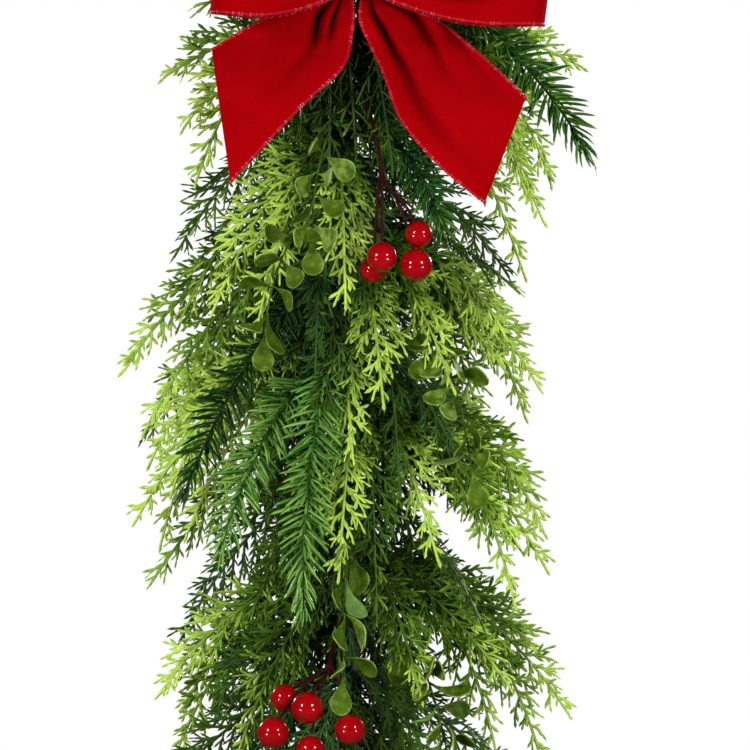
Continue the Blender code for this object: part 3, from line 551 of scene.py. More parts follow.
def makeGreenGroup():
    # moulded green: deep to bright by the tint of each leaf, cooler by its bunch, mottled, lighter at its end
    group, given, out = newTree("mouldedGreen", "ShaderNodeTree", {
        "Deep": "Color", "Middle": "Color", "Bright": "Color", "Cool": "Color", "Mottle Size": "Float",
        "Mottle": "Float", "End Light": "Float",
    }, {"Colour": "Color", "Roughness": "Float", "Height": "Float"})
    noise = addNoise(group, addMath(group, "DIVIDE", 1.0, given["Mottle Size"]), 2.0)
    end = markOf(group, "alongLeaf")
    shift = addMath(group, "MULTIPLY", mapRange(group, noise, 0.3, 0.7, -1.0, 1.0), given["Mottle"])
    lit = addMath(group, "MULTIPLY_ADD", end, given["End Light"], shift)
    tone = addMath(group, "ADD", markOf(group, "tint"), lit)
    colour = mixColours(group, mapRange(group, tone, 0.0, 0.5, 0.0, 1.0), given["Deep"], given["Middle"])
    colour = mixColours(group, mapRange(group, tone, 0.5, 1.0, 0.0, 1.0), colour, given["Bright"])
    coolShare = addMath(group, "MULTIPLY", markOf(group, "cool"), mapRange(group, tone, 0.2, 0.8, 1.0, 0.0))
    group.links.new(mixColours(group, coolShare, colour, given["Cool"]), out["Colour"])
    dull = mapRange(group, end, 0.0, 0.3, 0.28, 0.0)  # the stems shine less than the leaves
    rough = addMath(group, "ADD", mapRange(group, noise, 0.3, 0.7, 0.20, 0.40), dull)
    group.links.new(rough, out["Roughness"])
    group.links.new(noise, out["Height"])
    return group


def newMaterial(name):
    material = bpy.data.materials.new(name)
    material.use_nodes = True
    tree = material.node_tree
    return material, tree, tree.nodes["Principled BSDF"]


def makeGreen(name, look):
    material, tree, shader = newMaterial(name)
    tone = tree.nodes.new("ShaderNodeGroup")
    tone.node_tree = greenGroup
    fill(tree, tone, {label: (*look[label], 1) for label in ("Deep", "Middle", "Bright", "Cool")})
    fill(tree, tone, {label: look[label] for label in ("Mottle Size", "Mottle", "End Light")})
    fill(tree, shader, {
        "Base Color": tone.outputs["Colour"], "Roughness": tone.outputs["Roughness"],
        "Normal": addBump(tree, tone.outputs["Height"], 0.25, 0.0003),
        "Specular IOR Level": look["specular"], "Specular Tint": (*look["shine"], 1)})
    return material


greenGroup = makeGreenGroup()
sprayTree = makeSprayTree()
stitchTree = makeStitchTree()
print("nodes ready")


# Cedar fronds

cedar = {
    "leafyFrom": 0.10, "leafyTo": 0.955, "ribRadius": (0.00140, 0.00095),
    "twigGap": 0.0050, "twigLength": 0.0285, "twigChange": (0.66, 1.16), "twigSweep": 42, "twigEndSweep": 26,
    "twigTurn": (9, 10), "twigRadius": (0.00108, 0.00080), "sag": 0.12, "stray": 0.24,
    "forkFrom": 0.0150, "forkAt": (0.30, 0.50), "forkLength": (0.38, 0.52), "forkSweep": 34,
    "forkRadius": (0.00088, 0.00066), "leafletGap": 0.0032, "leafletLength": 0.0075,
    "leafletChange": (0.70, 1.15), "leafletSweep": 28, "leafletTurn": 7, "leafletLift": 0.45,
    "leafletWidth": 0.270, "ribLeafletChange": (0.8, 1.1), "ribLeafletSweep": 30, "ribLeafletTurn": 8,
    "ribLeafletLift": (-0.7, 1.1), "tintChange": 0.16, "untidiness": 0.15, "outerLight": 0.18,
    "shortest": 0.30, "sagDown": 0.06, "sagChange": (0.3, 1.5), "forkOuter": 0.6, "forkTurn": 7,
    "forkStray": 0.25, "forkCurve": 0.35, "ribLeaflets": (0.08, 0.985), "ribLeafletGap": 1.3,
    "ribTintChange": 0.05, "twigTint": (-0.12, 0.10), "twigEndTint": (0.0, 0.12),
}
darkCedar = {
    **cedar, "leafletGap": 0.0029, "leafletLength": 0.0080, "leafletWidth": 0.200, "outerLight": 0.07,
}
innerCedar = {**cedar, "twigGap": 0.0054, "leafletGap": 0.0033, "twigLength": 0.0270, "stray": 0.35}
inner = {
    "spread": (-125, -45, 40, 120), "spreadChange": 22, "reach": (0.018, 0.044), "depth": 0.8,
    "drop": (0.085, 0.140), "foot": 0.02, "out": 0.75, "down": 0.15, "roll": 70, "lightFrom": 0.080,
}
veils = {
    1: ((20, -40, -262), (34, -44, -236), (104, -16, -264), (110, 4, -274), (128, 6, -216), (121, -4, -262)),
    2: ((-12, -46, -262), (4, -48, -246), (-30, -46, -238)),
    3: ((-20, -60, -372), (10, -56, -352), (-50, 16, -470)),
    5: ((-16, -62, -430), (30, -50, -446), (92, -32, -352), (106, 8, -402), (84, 20, -430)),
    6: ((-44, -30, -500), (-34, 24, -500), (-58, 8, -468), (-114, 0, -478), (-48, -22, -462), (-120, 2, -428),
        (-106, -34, -446)),
    7: ((16, -64, -520), (-24, -60, -500), (98, -34, -512), (116, -22, -470)),
    8: ((-100, 12, -580),),
    9: ((86, -36, -596), (116, -20, -612)),
    10: ((0, -64, -730), (-26, -60, -700)),
}
# for each lime bunch: its body, its tips, and the share of its fronds that are dark but for their tips
limeTones = (
    (0.60, 0.98, 0.2), (0.40, 0.84, 0.5), (0.78, 0.98, 0.0), (0.18, 0.82, 0.8), (0.42, 0.94, 0.4),
    (0.78, 1.00, 0.0), (0.60, 0.98, 0.2), (0.40, 0.86, 0.4), (0.26, 0.84, 0.5), (0.42, 0.88, 0.3),
    (0.44, 0.86, 0.3), (0.38, 0.80, 0.4), (0.42, 0.84, 0.3), (0.42, 0.84, 0.3),
)
cedarLook = {
    "Deep": (0.004, 0.010, 0.002), "Middle": (0.088, 0.200, 0.010), "Bright": (0.570, 0.810, 0.125),
    "Cool": (0.020, 0.080, 0.026), "Mottle Size": 0.012, "Mottle": 0.10, "End Light": 0.16,
    "specular": 0.46, "shine": (0.80, 1.0, 0.28),
}
cedarGreen = makeGreen("cedarGreen", cedarLook)
stemRoots = []


def makeLeaflet():
    # a blunt three-sided finger, widest near its end, its ridge towards +Y
    points = [(-0.30, 0, -0.04), (0.30, 0, -0.04), (-0.5, -0.14, 0.68), (0.5, -0.14, 0.68), (0, 0.40, 0.60),
              (0, 0.08, 1.0)]
    faces = [(0, 2, 3, 1), (0, 4, 2), (0, 1, 4), (1, 3, 4), (5, 3, 2), (5, 4, 3), (5, 2, 4)]
    marks = {"alongLeaf": [0, 0, 0.7, 0.7, 0.6, 1]}
    return meshFrom("leaflet", points, faces, None, smooth=False, marks=marks)


def bezier(p0, p1, p2, t):
    t = t[:, None]
    return (1 - t) ** 2 * p0 + 2 * t * (1 - t) * p1 + t * t * p2, unit((1 - t) * (p1 - p0) + t * (p2 - p1))


def handsOf(many):
    # left and right in turn
    return np.where(np.arange(many) % 2 == 0, 1.0, -1.0)[:, None]


def leafTwig(spray, draw, bends, face, tints, cool, look):
    # leaflets on both sides of a twig, and one at its end
    length = np.linalg.norm(bends[1] - bends[0]) + np.linalg.norm(bends[2] - bends[1])
    many = max(3, int(length / look["leafletGap"]))
    t = (np.arange(many) + 0.75) / (many + 0.35)
    t[-1] = 0.97
    points, along = bezier(*bends, t)
    sides = unit(np.cross(face, along)) * handsOf(many)
    lift = swing(draw, 1, (many, 1)) * look["leafletLift"]
    sweep = np.radians(look["leafletSweep"] + swing(draw, look["leafletTurn"], (many, 1)))
    sweep[-1] = 0
    heading = np.cos(sweep) * along + np.sin(sweep) * (sides + lift * face)
    size = look["leafletLength"] * draw.uniform(*look["leafletChange"], many)
    size *= 0.78 + 0.28 * np.sin(np.pi * t)
    tint = between(*tints, t) + swing(draw, look["tintChange"], many)
    spray.leaves(points, heading, face, size, tint, cool)


def sideTwig(stem, draw, look, share, hand):
    # where a side twig starts, bends and ends, how far it reaches, and the face of the frond there
    point, along, side, face = stem.at(between(look["leafyFrom"], look["leafyTo"], share))
    bow = math.sin(math.pi * min(1.0, 0.18 + 0.96 * share)) ** 0.7  # longest at the middle of the frond
    reach = look["twigLength"] * between(look["shortest"], 1, bow) * draw.uniform(*look["twigChange"])
    start = math.radians(look["twigSweep"] + swing(draw, look["twigTurn"][0]))
    end = math.radians(look["twigEndSweep"] + swing(draw, look["twigTurn"][1]))
    stray = swing(draw, look["stray"]) * face
    first = math.cos(start) * along + hand * math.sin(start) * side + stray
    later = math.cos(end) * along + hand * math.sin(end) * side + 1.5 * stray
    bend = point + 0.5 * reach * unit(first)
    sag = reach * (look["sag"] * face + (0, 0, look["sagDown"])) * draw.uniform(*look["sagChange"])
    return (point, bend, bend + 0.5 * reach * unit(later) - sag), reach, face


def forkOf(bends, draw, look, reach, face, hand):
    # a shorter twig that branches off a long one
    at = draw.uniform(*look["forkAt"])
    long = draw.uniform(*look["forkLength"]) * reach
    base, way = (value[0] for value in bezier(*bends, np.array((at,))))
    across = unit(np.cross(face, way)) * (hand if draw.random() < look["forkOuter"] else -hand)
    angle = math.radians(look["forkSweep"] + swing(draw, look["forkTurn"]))
    aim = unit(math.cos(angle) * way + math.sin(angle) * across + swing(draw, look["forkStray"]) * face)
    bend = base + 0.5 * long * aim
    return base, bend, bend + 0.5 * long * unit(aim + look["forkCurve"] * way)


def growFrond(spray, stem, draw, tone, look):
    # a rib, side twigs in turn to left and right, and leaflets all along both
    root, body, tips, late, cool = (tone[part] for part in ("root", "body", "tips", "late", "cool"))
    length = stem.length()
    shares = np.linspace(0, 1, 13)
    # darker at the root and lighter to the tips: the lime tips are the green's own colour, the dark root is
    # partly painted shade deep in the bunch
    ribTint = between(root, body, np.minimum(1, 1.3 * shares)) + 0.9 * (tips - body) * shares ** late
    spray.twig(stem.frame(shares)[0], between(*look["ribRadius"], shares), ribTint, cool)
    leafy = look["leafyTo"] - look["leafyFrom"]
    many = max(8, int(length * leafy / look["twigGap"]))
    for i in range(many):
        share = max(0.0, (i + draw.uniform(-0.3, 0.3)) / many)
        hand = 1 if i % 2 == 0 else -1
        bends, reach, face = sideTwig(stem, draw, look, share, hand)
        light = between(body, tips, share ** late) + draw.uniform(*look["twigTint"])
        # each twig is darker at its foot, from the frond's darker root and a painted shade where it meets the
        # rib
        foot = between(root, light, min(1.0, 0.35 + 1.4 * (look["leafyFrom"] + leafy * share)))
        twigTints = (0.8 * foot, foot + tone["twigLift"] + draw.uniform(*look["twigEndTint"]))
        middle = bezier(*bends, np.array((0.5,)))[0][0]
        spray.twig(np.array((bends[0], middle, bends[2])), np.linspace(*look["twigRadius"], 3),
                   np.linspace(*twigTints, 3), cool)
        leafTwig(spray, draw, bends, face, twigTints, cool, look)
        if reach > look["forkFrom"]:
            fork = forkOf(bends, draw, look, reach, face, hand)
            spray.twig(np.array((fork[0], fork[2])), np.array(look["forkRadius"]), twigTints[1], cool)
            leafTwig(spray, draw, fork, face, twigTints, cool, look)
    many = int(length * 0.9 / (look["ribLeafletGap"] * look["leafletGap"]))
    s = np.linspace(*look["ribLeaflets"], many)
    points, along, side, face = stem.frame(s)
    sweep = np.radians(look["ribLeafletSweep"] + swing(draw, look["ribLeafletTurn"], (many, 1)))
    sweep[-1] = 0
    lift = draw.uniform(*look["ribLeafletLift"], (many, 1))
    heading = np.cos(sweep) * along + np.sin(sweep) * (side * handsOf(many) + lift * face)
    size = look["leafletLength"] * draw.uniform(*look["ribLeafletChange"], many)
    tint = between(root, body, np.minimum(1, s * 2.2)) + (tips - body) * np.maximum(0, s - 0.45) / 0.55
    spray.leaves(points, heading, face, size, tint + swing(draw, look["ribTintChange"], many), cool)


def limeTone(draw, look):
    body = look[0] + draw.uniform(-0.10, 0.07)
    if draw.random() < look[2]:
        body = draw.uniform(0.08, 0.20)
    return {"root": 0.6 * body, "body": body, "tips": look[1] + draw.uniform(-0.12, 0.06), "twigLift": 0.10,
            "cool": draw.uniform(0.0, 0.1), "late": 1.5 if body > 0.25 else 2.6}


def darkTone(draw):
    body = 0.15 + draw.uniform(-0.09, 0.11)
    tipped = draw.random() < 0.40
    return {"root": 0.10, "body": body, "tips": body + (0.50 if tipped else 0.08),
            "twigLift": 0.10 if tipped else 0.05, "cool": draw.uniform(0.1, 0.9), "late": 2.6}


def growBunch(node, root, stems, innerStems, slotName, toneOf, look, seed):
    draw = np.random.default_rng(seed)
    spray = Spray(look["outerLight"])
    stemRoots.append(root)
    found = 0
    for stem in stems:
        tone = toneOf(draw)
        bent = asBuilt(node, stem, lambda way: way.tip)
        if bent is not None:
            found += 1
            growFrond(spray, bent, draw, tone, look)
    for stem in innerStems:
        # fill-in fronds that stay near the core get a dark tone: painted shade, where the outer fronds shade
        # them
        if math.hypot(stem.tip[0], stem.tip[1]) > inner["lightFrom"]:
            tone = toneOf(draw)
        else:
            tone = {"root": 0.04, "body": draw.uniform(0.06, 0.24), "tips": draw.uniform(0.16, 0.50),
                    "twigLift": 0.05, "cool": draw.uniform(0.0, 0.8), "late": 1.5}
        growFrond(spray, stem, draw, tone, innerCedar)
    name = slotName.replace("cedar_", "") + "Cedar" + node[-2:]
    piece = spray.grown(name, seed, leaflet, look["leafletWidth"], look["untidiness"], 3,
                        cedarGreen, cedarGreen)
    keep(piece, slotName, node)
    return found


def fillIn(root, turn, number):
    # short fronds that hang along the core, so that it is covered
    draw = random.Random(900 + number)
    stems = []
    for spread in inner["spread"]:
        angle = turn + math.radians(spread + swing(draw, inner["spreadChange"]))
        reach = draw.uniform(*inner["reach"])
        drop = min(draw.uniform(*inner["drop"]), garland["length"] - inner["foot"] + root[2])
        tip = root + (reach * math.sin(angle), -inner["depth"] * reach * math.cos(angle), -drop)
        roll = math.radians(swing(draw, inner["roll"]))
        stems.append(Stem(root, tip, inner["out"], inner["down"], 1.0, roll))
    return stems


leaflet = makeLeaflet()
fronds = 0
for i, (rootZ, turn, tips) in enumerate(limeBunches, 1):
    root = rootPlace(rootZ, turn)
    stems = bunchStems(root, [mm(*tip) for tip in tips], random.Random(lime["seed"] + i), lime)
    veil = [Stem(root, mm(*tip), inner["out"], inner["down"]) for tip in veils.get(i, ())]
    fronds += growBunch(f"cedar_lime_{i:02d}", root, stems, veil, "cedar_lime",
                        lambda draw: limeTone(draw, limeTones[i - 1]), cedar, 300 + i)
print("lime cedar:", fronds, "fronds")
fronds = 0
for i in range(dark["bunches"]):
    draw = random.Random(dark["seed"] + i)
    z, turn, tips = darkTips(i, draw)
    root = rootPlace(z * 1000, math.degrees(turn))
    stems = bunchStems(root, tips, draw, dark)
    fronds += growBunch(f"cedar_dark_{i + 1:02d}", root, stems, fillIn(root, turn, i), "cedar_dark", darkTone,
                        darkCedar, 400 + i)
print("dark cedar:", fronds, "fronds")


# Fir sprigs

fir = {
    "needleLength": 0.0205, "needleChange": (0.76, 1.08), "needleWidth": 0.118, "curve": 1.9,
    "needlesFrom": 0.24, "stemEnd": 0.985, "solidTip": 0.0156, "stemRadius": (0.0013, 0.0008),
    "rowGap": 0.0025, "rows": (8, 172, 90, 270), "rowSpread": 40, "frontShare": 0.80, "frontLength": 0.66,
    "closesFrom": 0.8, "sweep": 60, "endSweep": 20, "sweepChange": 13, "endLength": 0.64, "untidiness": 0.16,
    "tintChange": (-0.20, 0.18), "endTint": 0.16, "footOut": 0.0006, "lastNeedle": 0.8,
}
firGreen = makeGreen("firGreen", {
    "Deep": (0.003, 0.014, 0.002), "Middle": (0.031, 0.142, 0.012), "Bright": (0.245, 0.490, 0.085),
    "Cool": (0.010, 0.150, 0.036), "Mottle Size": 0.010, "Mottle": 0.10, "End Light": 0.20,
    "specular": 0.34, "shine": (0.75, 1.0, 0.50),
})


def makeNeedle():
    # a flat needle with a keel, curving in towards its sprig
    points = [(0, 0, 0)]
    marks = [0.0]
    rings = ((0.06, 0.32), (0.30, 0.50), (0.62, 0.52), (0.86, 0.34))
    for z, half in rings:
        y = -fir["curve"] * z * z
        points += [(-half, y, z), (0, y - 0.16 * half, z), (half, y, z), (0, y + 0.30 * half, z)]
        marks += [z] * 4
    points.append((0, -1.06 * fir["curve"], 1.0))
    marks.append(1.0)
    faces = []
    last = 4 * len(rings) - 3
    for k in range(4):
        after = (k + 1) % 4
        faces.append((0, 1 + k, 1 + after))
        for ring in range(1, last, 4):
            faces.append((ring + k, ring + 4 + k, ring + 4 + after, ring + after))
        faces.append((last + k, last + 4, last + after))
    return meshFrom("needle", points, faces, None, smooth=True, marks={"alongLeaf": marks})


def growFir(node, pieceName, root, stem, tone, seed):
    draw = np.random.default_rng(seed)
    spray = Spray()
    stemRoots.append(root)
    body, cool, long = tone
    bent = builtOf(node, stem, fir)
    shares = np.linspace(0, fir["stemEnd"], 16)
    spray.twig(bent.frame(shares)[0], between(*fir["stemRadius"], shares), 0.5 * body, 0.0)
    rows = int(bent.length() * (fir["stemEnd"] - fir["needlesFrom"]) / fir["rowGap"])
    for row in range(rows):
        s = between(fir["needlesFrom"], fir["stemEnd"], (row + 0.5) / rows)
        # two needles at the sides in every row, and in most rows a shorter one in front and one behind
        turns = np.radians(np.array(fir["rows"]) + swing(draw, 1, 4) * fir["rowSpread"])
        grown = np.array((True, True, draw.random() < fir["frontShare"], draw.random() < fir["frontShare"]))
        share = np.array((1.0, 1.0, fir["frontLength"], fir["frontLength"]))[grown]
        turns = turns[grown][:, None]
        point, along, side, face = bent.at(s)
        out = np.cos(turns) * side + np.sin(turns) * face
        closing = max(0.0, s - fir["closesFrom"]) / (1 - fir["closesFrom"])
        turn = swing(draw, fir["sweepChange"], turns.shape)
        sweep = np.radians(between(fir["sweep"], fir["endSweep"], closing) + turn)
        heading = np.cos(sweep) * along + np.sin(sweep) * out
        share = share * long * between(1, fir["endLength"], closing)
        size = fir["needleLength"] * share * draw.uniform(*fir["needleChange"], len(turns))
        tint = body + draw.uniform(*fir["tintChange"], len(turns)) + fir["endTint"] * closing
        flat = unit(out + 0.7 * face * np.sign(out @ face)[:, None])
        spray.leaves(point + fir["footOut"] * out, heading, flat, size, tint, cool)
    point, along, side, face = bent.at(fir["stemEnd"])
    spray.oneLeaf(point, along, side, fir["lastNeedle"] * fir["needleLength"], body + 0.15, cool)
    piece = spray.grown(pieceName, seed, needle, fir["needleWidth"], fir["untidiness"], 6, firGreen, firGreen)
    keep(piece, "fir", node)


needle = makeNeedle()
# for each sprig: how light, how cool, and how long its needles are
firTones = (
    (0.70, 0.6, 1.04), (0.75, 0.0, 1.0), (-0.06, 0.1, 0.85), (0.42, 0.1, 1.0), (0.42, 0.7, 0.95),
    (0.32, 0.4, 0.9), (0.46, 0.4, 0.95), (0.42, 0.3, 1.0),
)
for i, (plan, tone) in enumerate(zip(firPlans, firTones), 1):
    rootZ, turn, out, down, tip = plan
    root = rootPlace(rootZ, turn)
    growFir(f"fir_sprig_{i}", f"firSprig{i}", root, Stem(root, mm(*tip), out, down), tone, 500 + i)
print("fir sprigs:", len(firPlans))


# Stems with round leaves

roundLeaf = {
    "length": 0.0245, "change": (0.78, 1.06), "aspect": 0.57, "cup": 0.07, "sag": 0.12, "thickness": 0.034,
    "rim": 0.018, "columns": 10, "rows": 14, "pairs": (4, 4, 7, 4, 7, 4), "from": 0.44, "to": 0.90,
    "stemEnd": 0.985, "solidTip": 0.0225, "stemRadius": 0.0007, "lean": 26, "leanChange": 40, "sweep": 58,
    "sweepChange": (-28, 22), "untidiness": 0.12, "frosted": (3, 17, 30, 44), "placeChange": 0.02,
    "droop": (-0.25, 0.1), "facing": 0.55, "facingTurn": 1.1, "facingRoll": 1.2, "footOut": 0.0004,
    "tints": (0.12, 0.62), "lastLeaf": 0.94, "lastTint": 0.45,
}
leafGreen = makeGreen("leafGreen", {
    "Deep": (0.018, 0.040, 0.000), "Middle": (0.085, 0.165, 0.008), "Bright": (0.380, 0.560, 0.120),
    "Cool": (0.200, 0.350, 0.090), "Mottle Size": 0.0045, "Mottle": 0.18, "End Light": 0.34,
    "specular": 0.20, "shine": (0.85, 1.0, 0.50),
})


def easeIn(value, low, high):
    t = min(1.0, max(0.0, (value - low) / (high - low)))
    return t * t * (3 - 2 * t)


def makeRoundLeaf(look):
    # spoon-shaped on a narrow foot, cupped, with a raised rim; face towards +Y and length along +Z
    columns = look["columns"]
    rows = look["rows"]
    points = []
    rimShare = []
    for layer in (1, -1):
        for i in range(rows + 1):
            u = math.sin(0.5 * math.pi * i / rows) ** 0.85 * 0.996
            wedge = min(1.0, max(0.0, (u - 0.08) / 0.62)) ** 1.6
            half = 0.035 + 0.465 * math.sin(0.5 * math.pi * wedge)
            half *= math.sqrt(max(0.0, 1 - (max(0.0, u - 0.70) / 0.30) ** 2))
            for j in range(columns + 1):
                v = math.sin(0.5 * math.pi * (2 * j / columns - 1))
                y = 2 * look["cup"] * v * v * half - look["sag"] * math.sin(math.pi * u) / look["aspect"]
                y += 0.10 * easeIn(u, 0.75, 1.0) + 0.02 * math.sin(7 * u + 3 * v)
                onRim = max(abs(v) ** 14, easeIn(u, 0.965, 0.995))
                thick = look["thickness"] + look["rim"] * onRim if 0 < j < columns and i < rows else 0.03
                points.append((half * v, y + layer * thick / 2 / look["aspect"], u))
                rimShare.append(onRim * easeIn(u, 0.1, 0.4))
    faces = slabFaces(rows + 1, columns + 1)
    return meshFrom("roundLeaf", points, faces, None, marks={"alongLeaf": rimShare})


def growLeafStem(number, root, stem, seed, look=roundLeaf):
    draw = np.random.default_rng(seed)
    spray = Spray()
    stemRoots.append(root)
    node = f"leaf_stem_{number}"
    bent = builtOf(node, stem, look)
    shares = np.linspace(0, look["stemEnd"], 16)
    spray.twig(bent.frame(shares)[0], np.linspace(1.2, 0.8, 16) * look["stemRadius"], 0.26, 0.0)
    pairs = look["pairs"][number - 1]
    for i in range(pairs):
        s = between(look["from"], look["to"], i / (pairs - 1))
        for hand in (1, -1):
            point, along, side, face = bent.at(s + swing(draw, look["placeChange"]))
            lean = math.radians(look["lean"] + swing(draw, look["leanChange"]))
            out = hand * math.cos(lean) * side + math.sin(lean) * face
            sweep = math.radians(look["sweep"] + draw.uniform(*look["sweepChange"]))
            aim = math.cos(sweep) * along + math.sin(sweep) * out + (0, 0, draw.uniform(*look["droop"]))
            facing = unit(look["facing"] * face + swing(draw, look["facingTurn"]) * along
                          + swing(draw, look["facingRoll"]) * side)
            count = 9 * (number - 1) + 2 * i + (hand + 1) // 2
            frost = 1.0 if count in look["frosted"] else 0.0
            size = look["length"] * draw.uniform(*look["change"])
            tint = draw.uniform(*look["tints"])
            spray.oneLeaf(point + look["footOut"] * out, aim, facing, size, tint, frost)
    point, along, side, face = bent.at(look["stemEnd"])
    spray.oneLeaf(point, along, face, look["length"] * look["lastLeaf"], look["lastTint"], 0.0)
    piece = spray.grown(f"leafStem{number}", seed, leafShape, look["aspect"], look["untidiness"], 6,
                        leafGreen, leafGreen)
    keep(piece, "leaf", node)


leafShape = makeRoundLeaf(roundLeaf)
for i, (rootZ, turn, out, down, tip) in enumerate(leafPlans, 1):
    root = rootPlace(rootZ, turn)
    growLeafStem(i, root, Stem(root, mm(*tip), out, down), 600 + i)
print("leaf stems:", len(leafPlans))


# Berries

berry = {
    "wireRadius": 0.0009, "stemRadius": 0.00126, "forkAt": 0.98, "forkStep": 0.035, "untidiness": 0.1,
    "reds": ((0.34, 0.0, 0.002), (0.44, 0.0005, 0.004)), "shadedRimRed": (0.090, 0.0, 0.001),
    "wireReds": ((0.008, 0.001, 0.001), (0.050, 0.002, 0.002)), "lacquer": 0.75, "lacquerRoughness": 0.06,
    "dimple": (0.10, 0.16), "wireDimple": (-0.07, 0.22),
}


def makeBerryMaterials():
    skin, tree, shader = newMaterial("berryRed")
    noise = addNoise(tree, 90.0, 3.0)
    colour = mixColours(tree, mapRange(tree, noise, 0.3, 0.7, 0.0, 1.0), *berry["reds"])
    # painted shade: the red is painted darker towards the rim, where the ball is seen aslant
    rim = mapRange(tree, addNode(tree, "ShaderNodeLayerWeight", None, "Facing"), 0.30, 1.0, 0.0, 0.85)
    fill(tree, shader, {
        "Base Color": mixColours(tree, rim, colour, berry["shadedRimRed"]),
        "Normal": addBump(tree, noise, 0.08, 0.0006), "Roughness": 0.4, "Specular IOR Level": 0.02,
        "Coat Weight": berry["lacquer"], "Coat Roughness": berry["lacquerRoughness"]})
    wire, tree, shader = newMaterial("berryWire")
    fill(tree, shader, {
        "Base Color": mixColours(tree, addNoise(tree, 500.0, 2.0), *berry["wireReds"]),
        "Roughness": 0.6, "Specular IOR Level": 0.15})
    return skin, wire


def makeBerryShape():
    # a ball with a shallow dimple at its end and another where the wire goes in; the wire is at -Z
    bm = bmesh.new()
    bmesh.ops.create_uvsphere(bm, u_segments=28, v_segments=20, radius=1.0)
    for vert in bm.verts:
        depth, width = berry["dimple"] if vert.co.z > 0 else berry["wireDimple"]
        vert.co.z -= depth * math.exp(-(math.hypot(vert.co.x, vert.co.y) / width) ** 2)
    mesh = bpy.data.meshes.new("berryShape")
    bm.to_mesh(mesh)
    bm.free()
    mesh.shade_smooth()
    return linked("berryShape", mesh)


def growBerries(node, pieceName, root, fork, plans, seed):
    draw = np.random.default_rng(seed)
    spray = Spray()
    stemRoots.append(root)
    stem = Stem(root, fork, 0.8, 0.3)
    spray.twig(stem.frame(np.linspace(0, 1, 12))[0], np.full(12, berry["stemRadius"]), 0.0, 0.0)
    for i, (x, y, z, radius) in enumerate(plans):
        centre = mm(x, y, z)
        twig = Stem(stem.at(berry["forkAt"] - berry["forkStep"] * i)[0], centre, 0.7, 0.35)
        end = 1 - 0.9 * radius * 0.001 / twig.length()  # the wire ends inside the berry
        points, along, side, face = twig.frame(np.linspace(0, end, 9))
        spray.twig(points, np.full(9, berry["wireRadius"]), 0.0, 0.0)
        spray.oneLeaf(centre, along[-1], side[-1], radius * 0.001, draw.uniform(0, 1), 0.0)
    piece = spray.grown(pieceName, seed, berryShape, 1.0, berry["untidiness"], 8, berryRed, berryWire)
    keep(piece, "berry", node)


berryRed, berryWire = makeBerryMaterials()
berryShape = makeBerryShape()
for i, (rootZ, turn, fork, plans) in enumerate(berryPlans, 1):
    growBerries(f"berry_cluster_{i}", f"berries{i}", rootPlace(rootZ, turn), mm(*fork), plans, 700 + i)
print("berry clusters:", len(berryPlans))


# Core, eye and wires

wrap = {
    "step": 0.0022, "sides": 18, "lap": 0.0075, "ridge": 0.0005, "crease": 0.00012, "creases": (7, 90),
    "colours": ((0.012, 0.007, 0.004), (0.085, 0.052, 0.028)), "roughness": 0.88,
}
eye = {"inner": 0.008, "wire": 0.00125, "strand": 0.0010, "twist": -7.719, "strandShare": 0.86}
tie = {"radius": 0.0011, "z": -0.139, "strand": 0.0005, "twist": 40, "strandShare": 0.6}


def sweptTube(points, radii, sides):
    # a closed tube along points, with flat ends
    points = np.array(points, float)
    radii = np.broadcast_to(np.array(radii, float), (len(points),))
    along = unit(np.gradient(points, axis=0))
    side = unit(np.cross(along[0], (0.31, 0.95, 0.05)))
    turns = math.tau * np.arange(sides)[:, None] / sides
    rings = []
    for point, radius, way in zip(points, radii, along):
        side = unit(side - way * side.dot(way))
        rings.append(point + radius * (np.cos(turns) * side + np.sin(turns) * np.cross(way, side)))
    return np.concatenate(rings), tubeFaces(len(points), sides)


def joinParts(parts):
    points = []
    faces = []
    for partPoints, partFaces in parts:
        faces += [tuple(len(points) + k for k in face) for face in partFaces]
        points += list(partPoints)
    return points, faces


def twistedPair(start, end, across, other, look):
    # two strands of wire twisted round the line from start to end
    shares = np.linspace(0, 1, 41)[:, None]
    parts = []
    for first in (0, math.pi):
        turns = first + look["twist"] * shares
        aside = look["strand"] * (np.cos(turns) * across + np.sin(turns) * other)
        parts.append(start + (end - start) * shares + aside)
    return parts


def ringTube(centre, across, other, radius, wire, around=48, sides=12):
    # a closed ring of wire round centre
    centre, across, other = (np.array(value, float) for value in (centre, across, other))
    axis = np.cross(across, other)
    points = []
    for i in range(around):
        turn = math.tau * i / around
        out = math.cos(turn) * across + math.sin(turn) * other
        for k in range(sides):
            lean = math.tau * k / sides
            points.append(centre + out * (radius + wire * math.cos(lean)) + axis * wire * math.sin(lean))
    faces = []
    for i in range(around):
        for k in range(sides):
            a = i * sides + k
            b = i * sides + (k + 1) % sides
            c = (i + 1) % around * sides + (k + 1) % sides
            d = (i + 1) % around * sides + k
            faces.append((a, d, c, b))
    return points, faces


def makeWrapMaterial():
    material, tree, shader = newMaterial("brownWrap")
    noise = addNoise(tree, 220.0, 5.0)
    fill(tree, shader, {
        "Base Color": mixColours(tree, noise, *wrap["colours"]), "Roughness": wrap["roughness"],
        "Normal": addBump(tree, noise, 0.5, 0.0006)})
    return material


def makeWireMaterial(name, colours, roughness):
    material, tree, shader = newMaterial(name)
    noise = addNoise(tree, 900.0, 2.0)
    fill(tree, shader, {
        "Base Color": mixColours(tree, noise, *colours), "Metallic": 1.0,
        "Roughness": mapRange(tree, noise, 0.3, 0.7, roughness - 0.08, roughness + 0.12)})
    return material


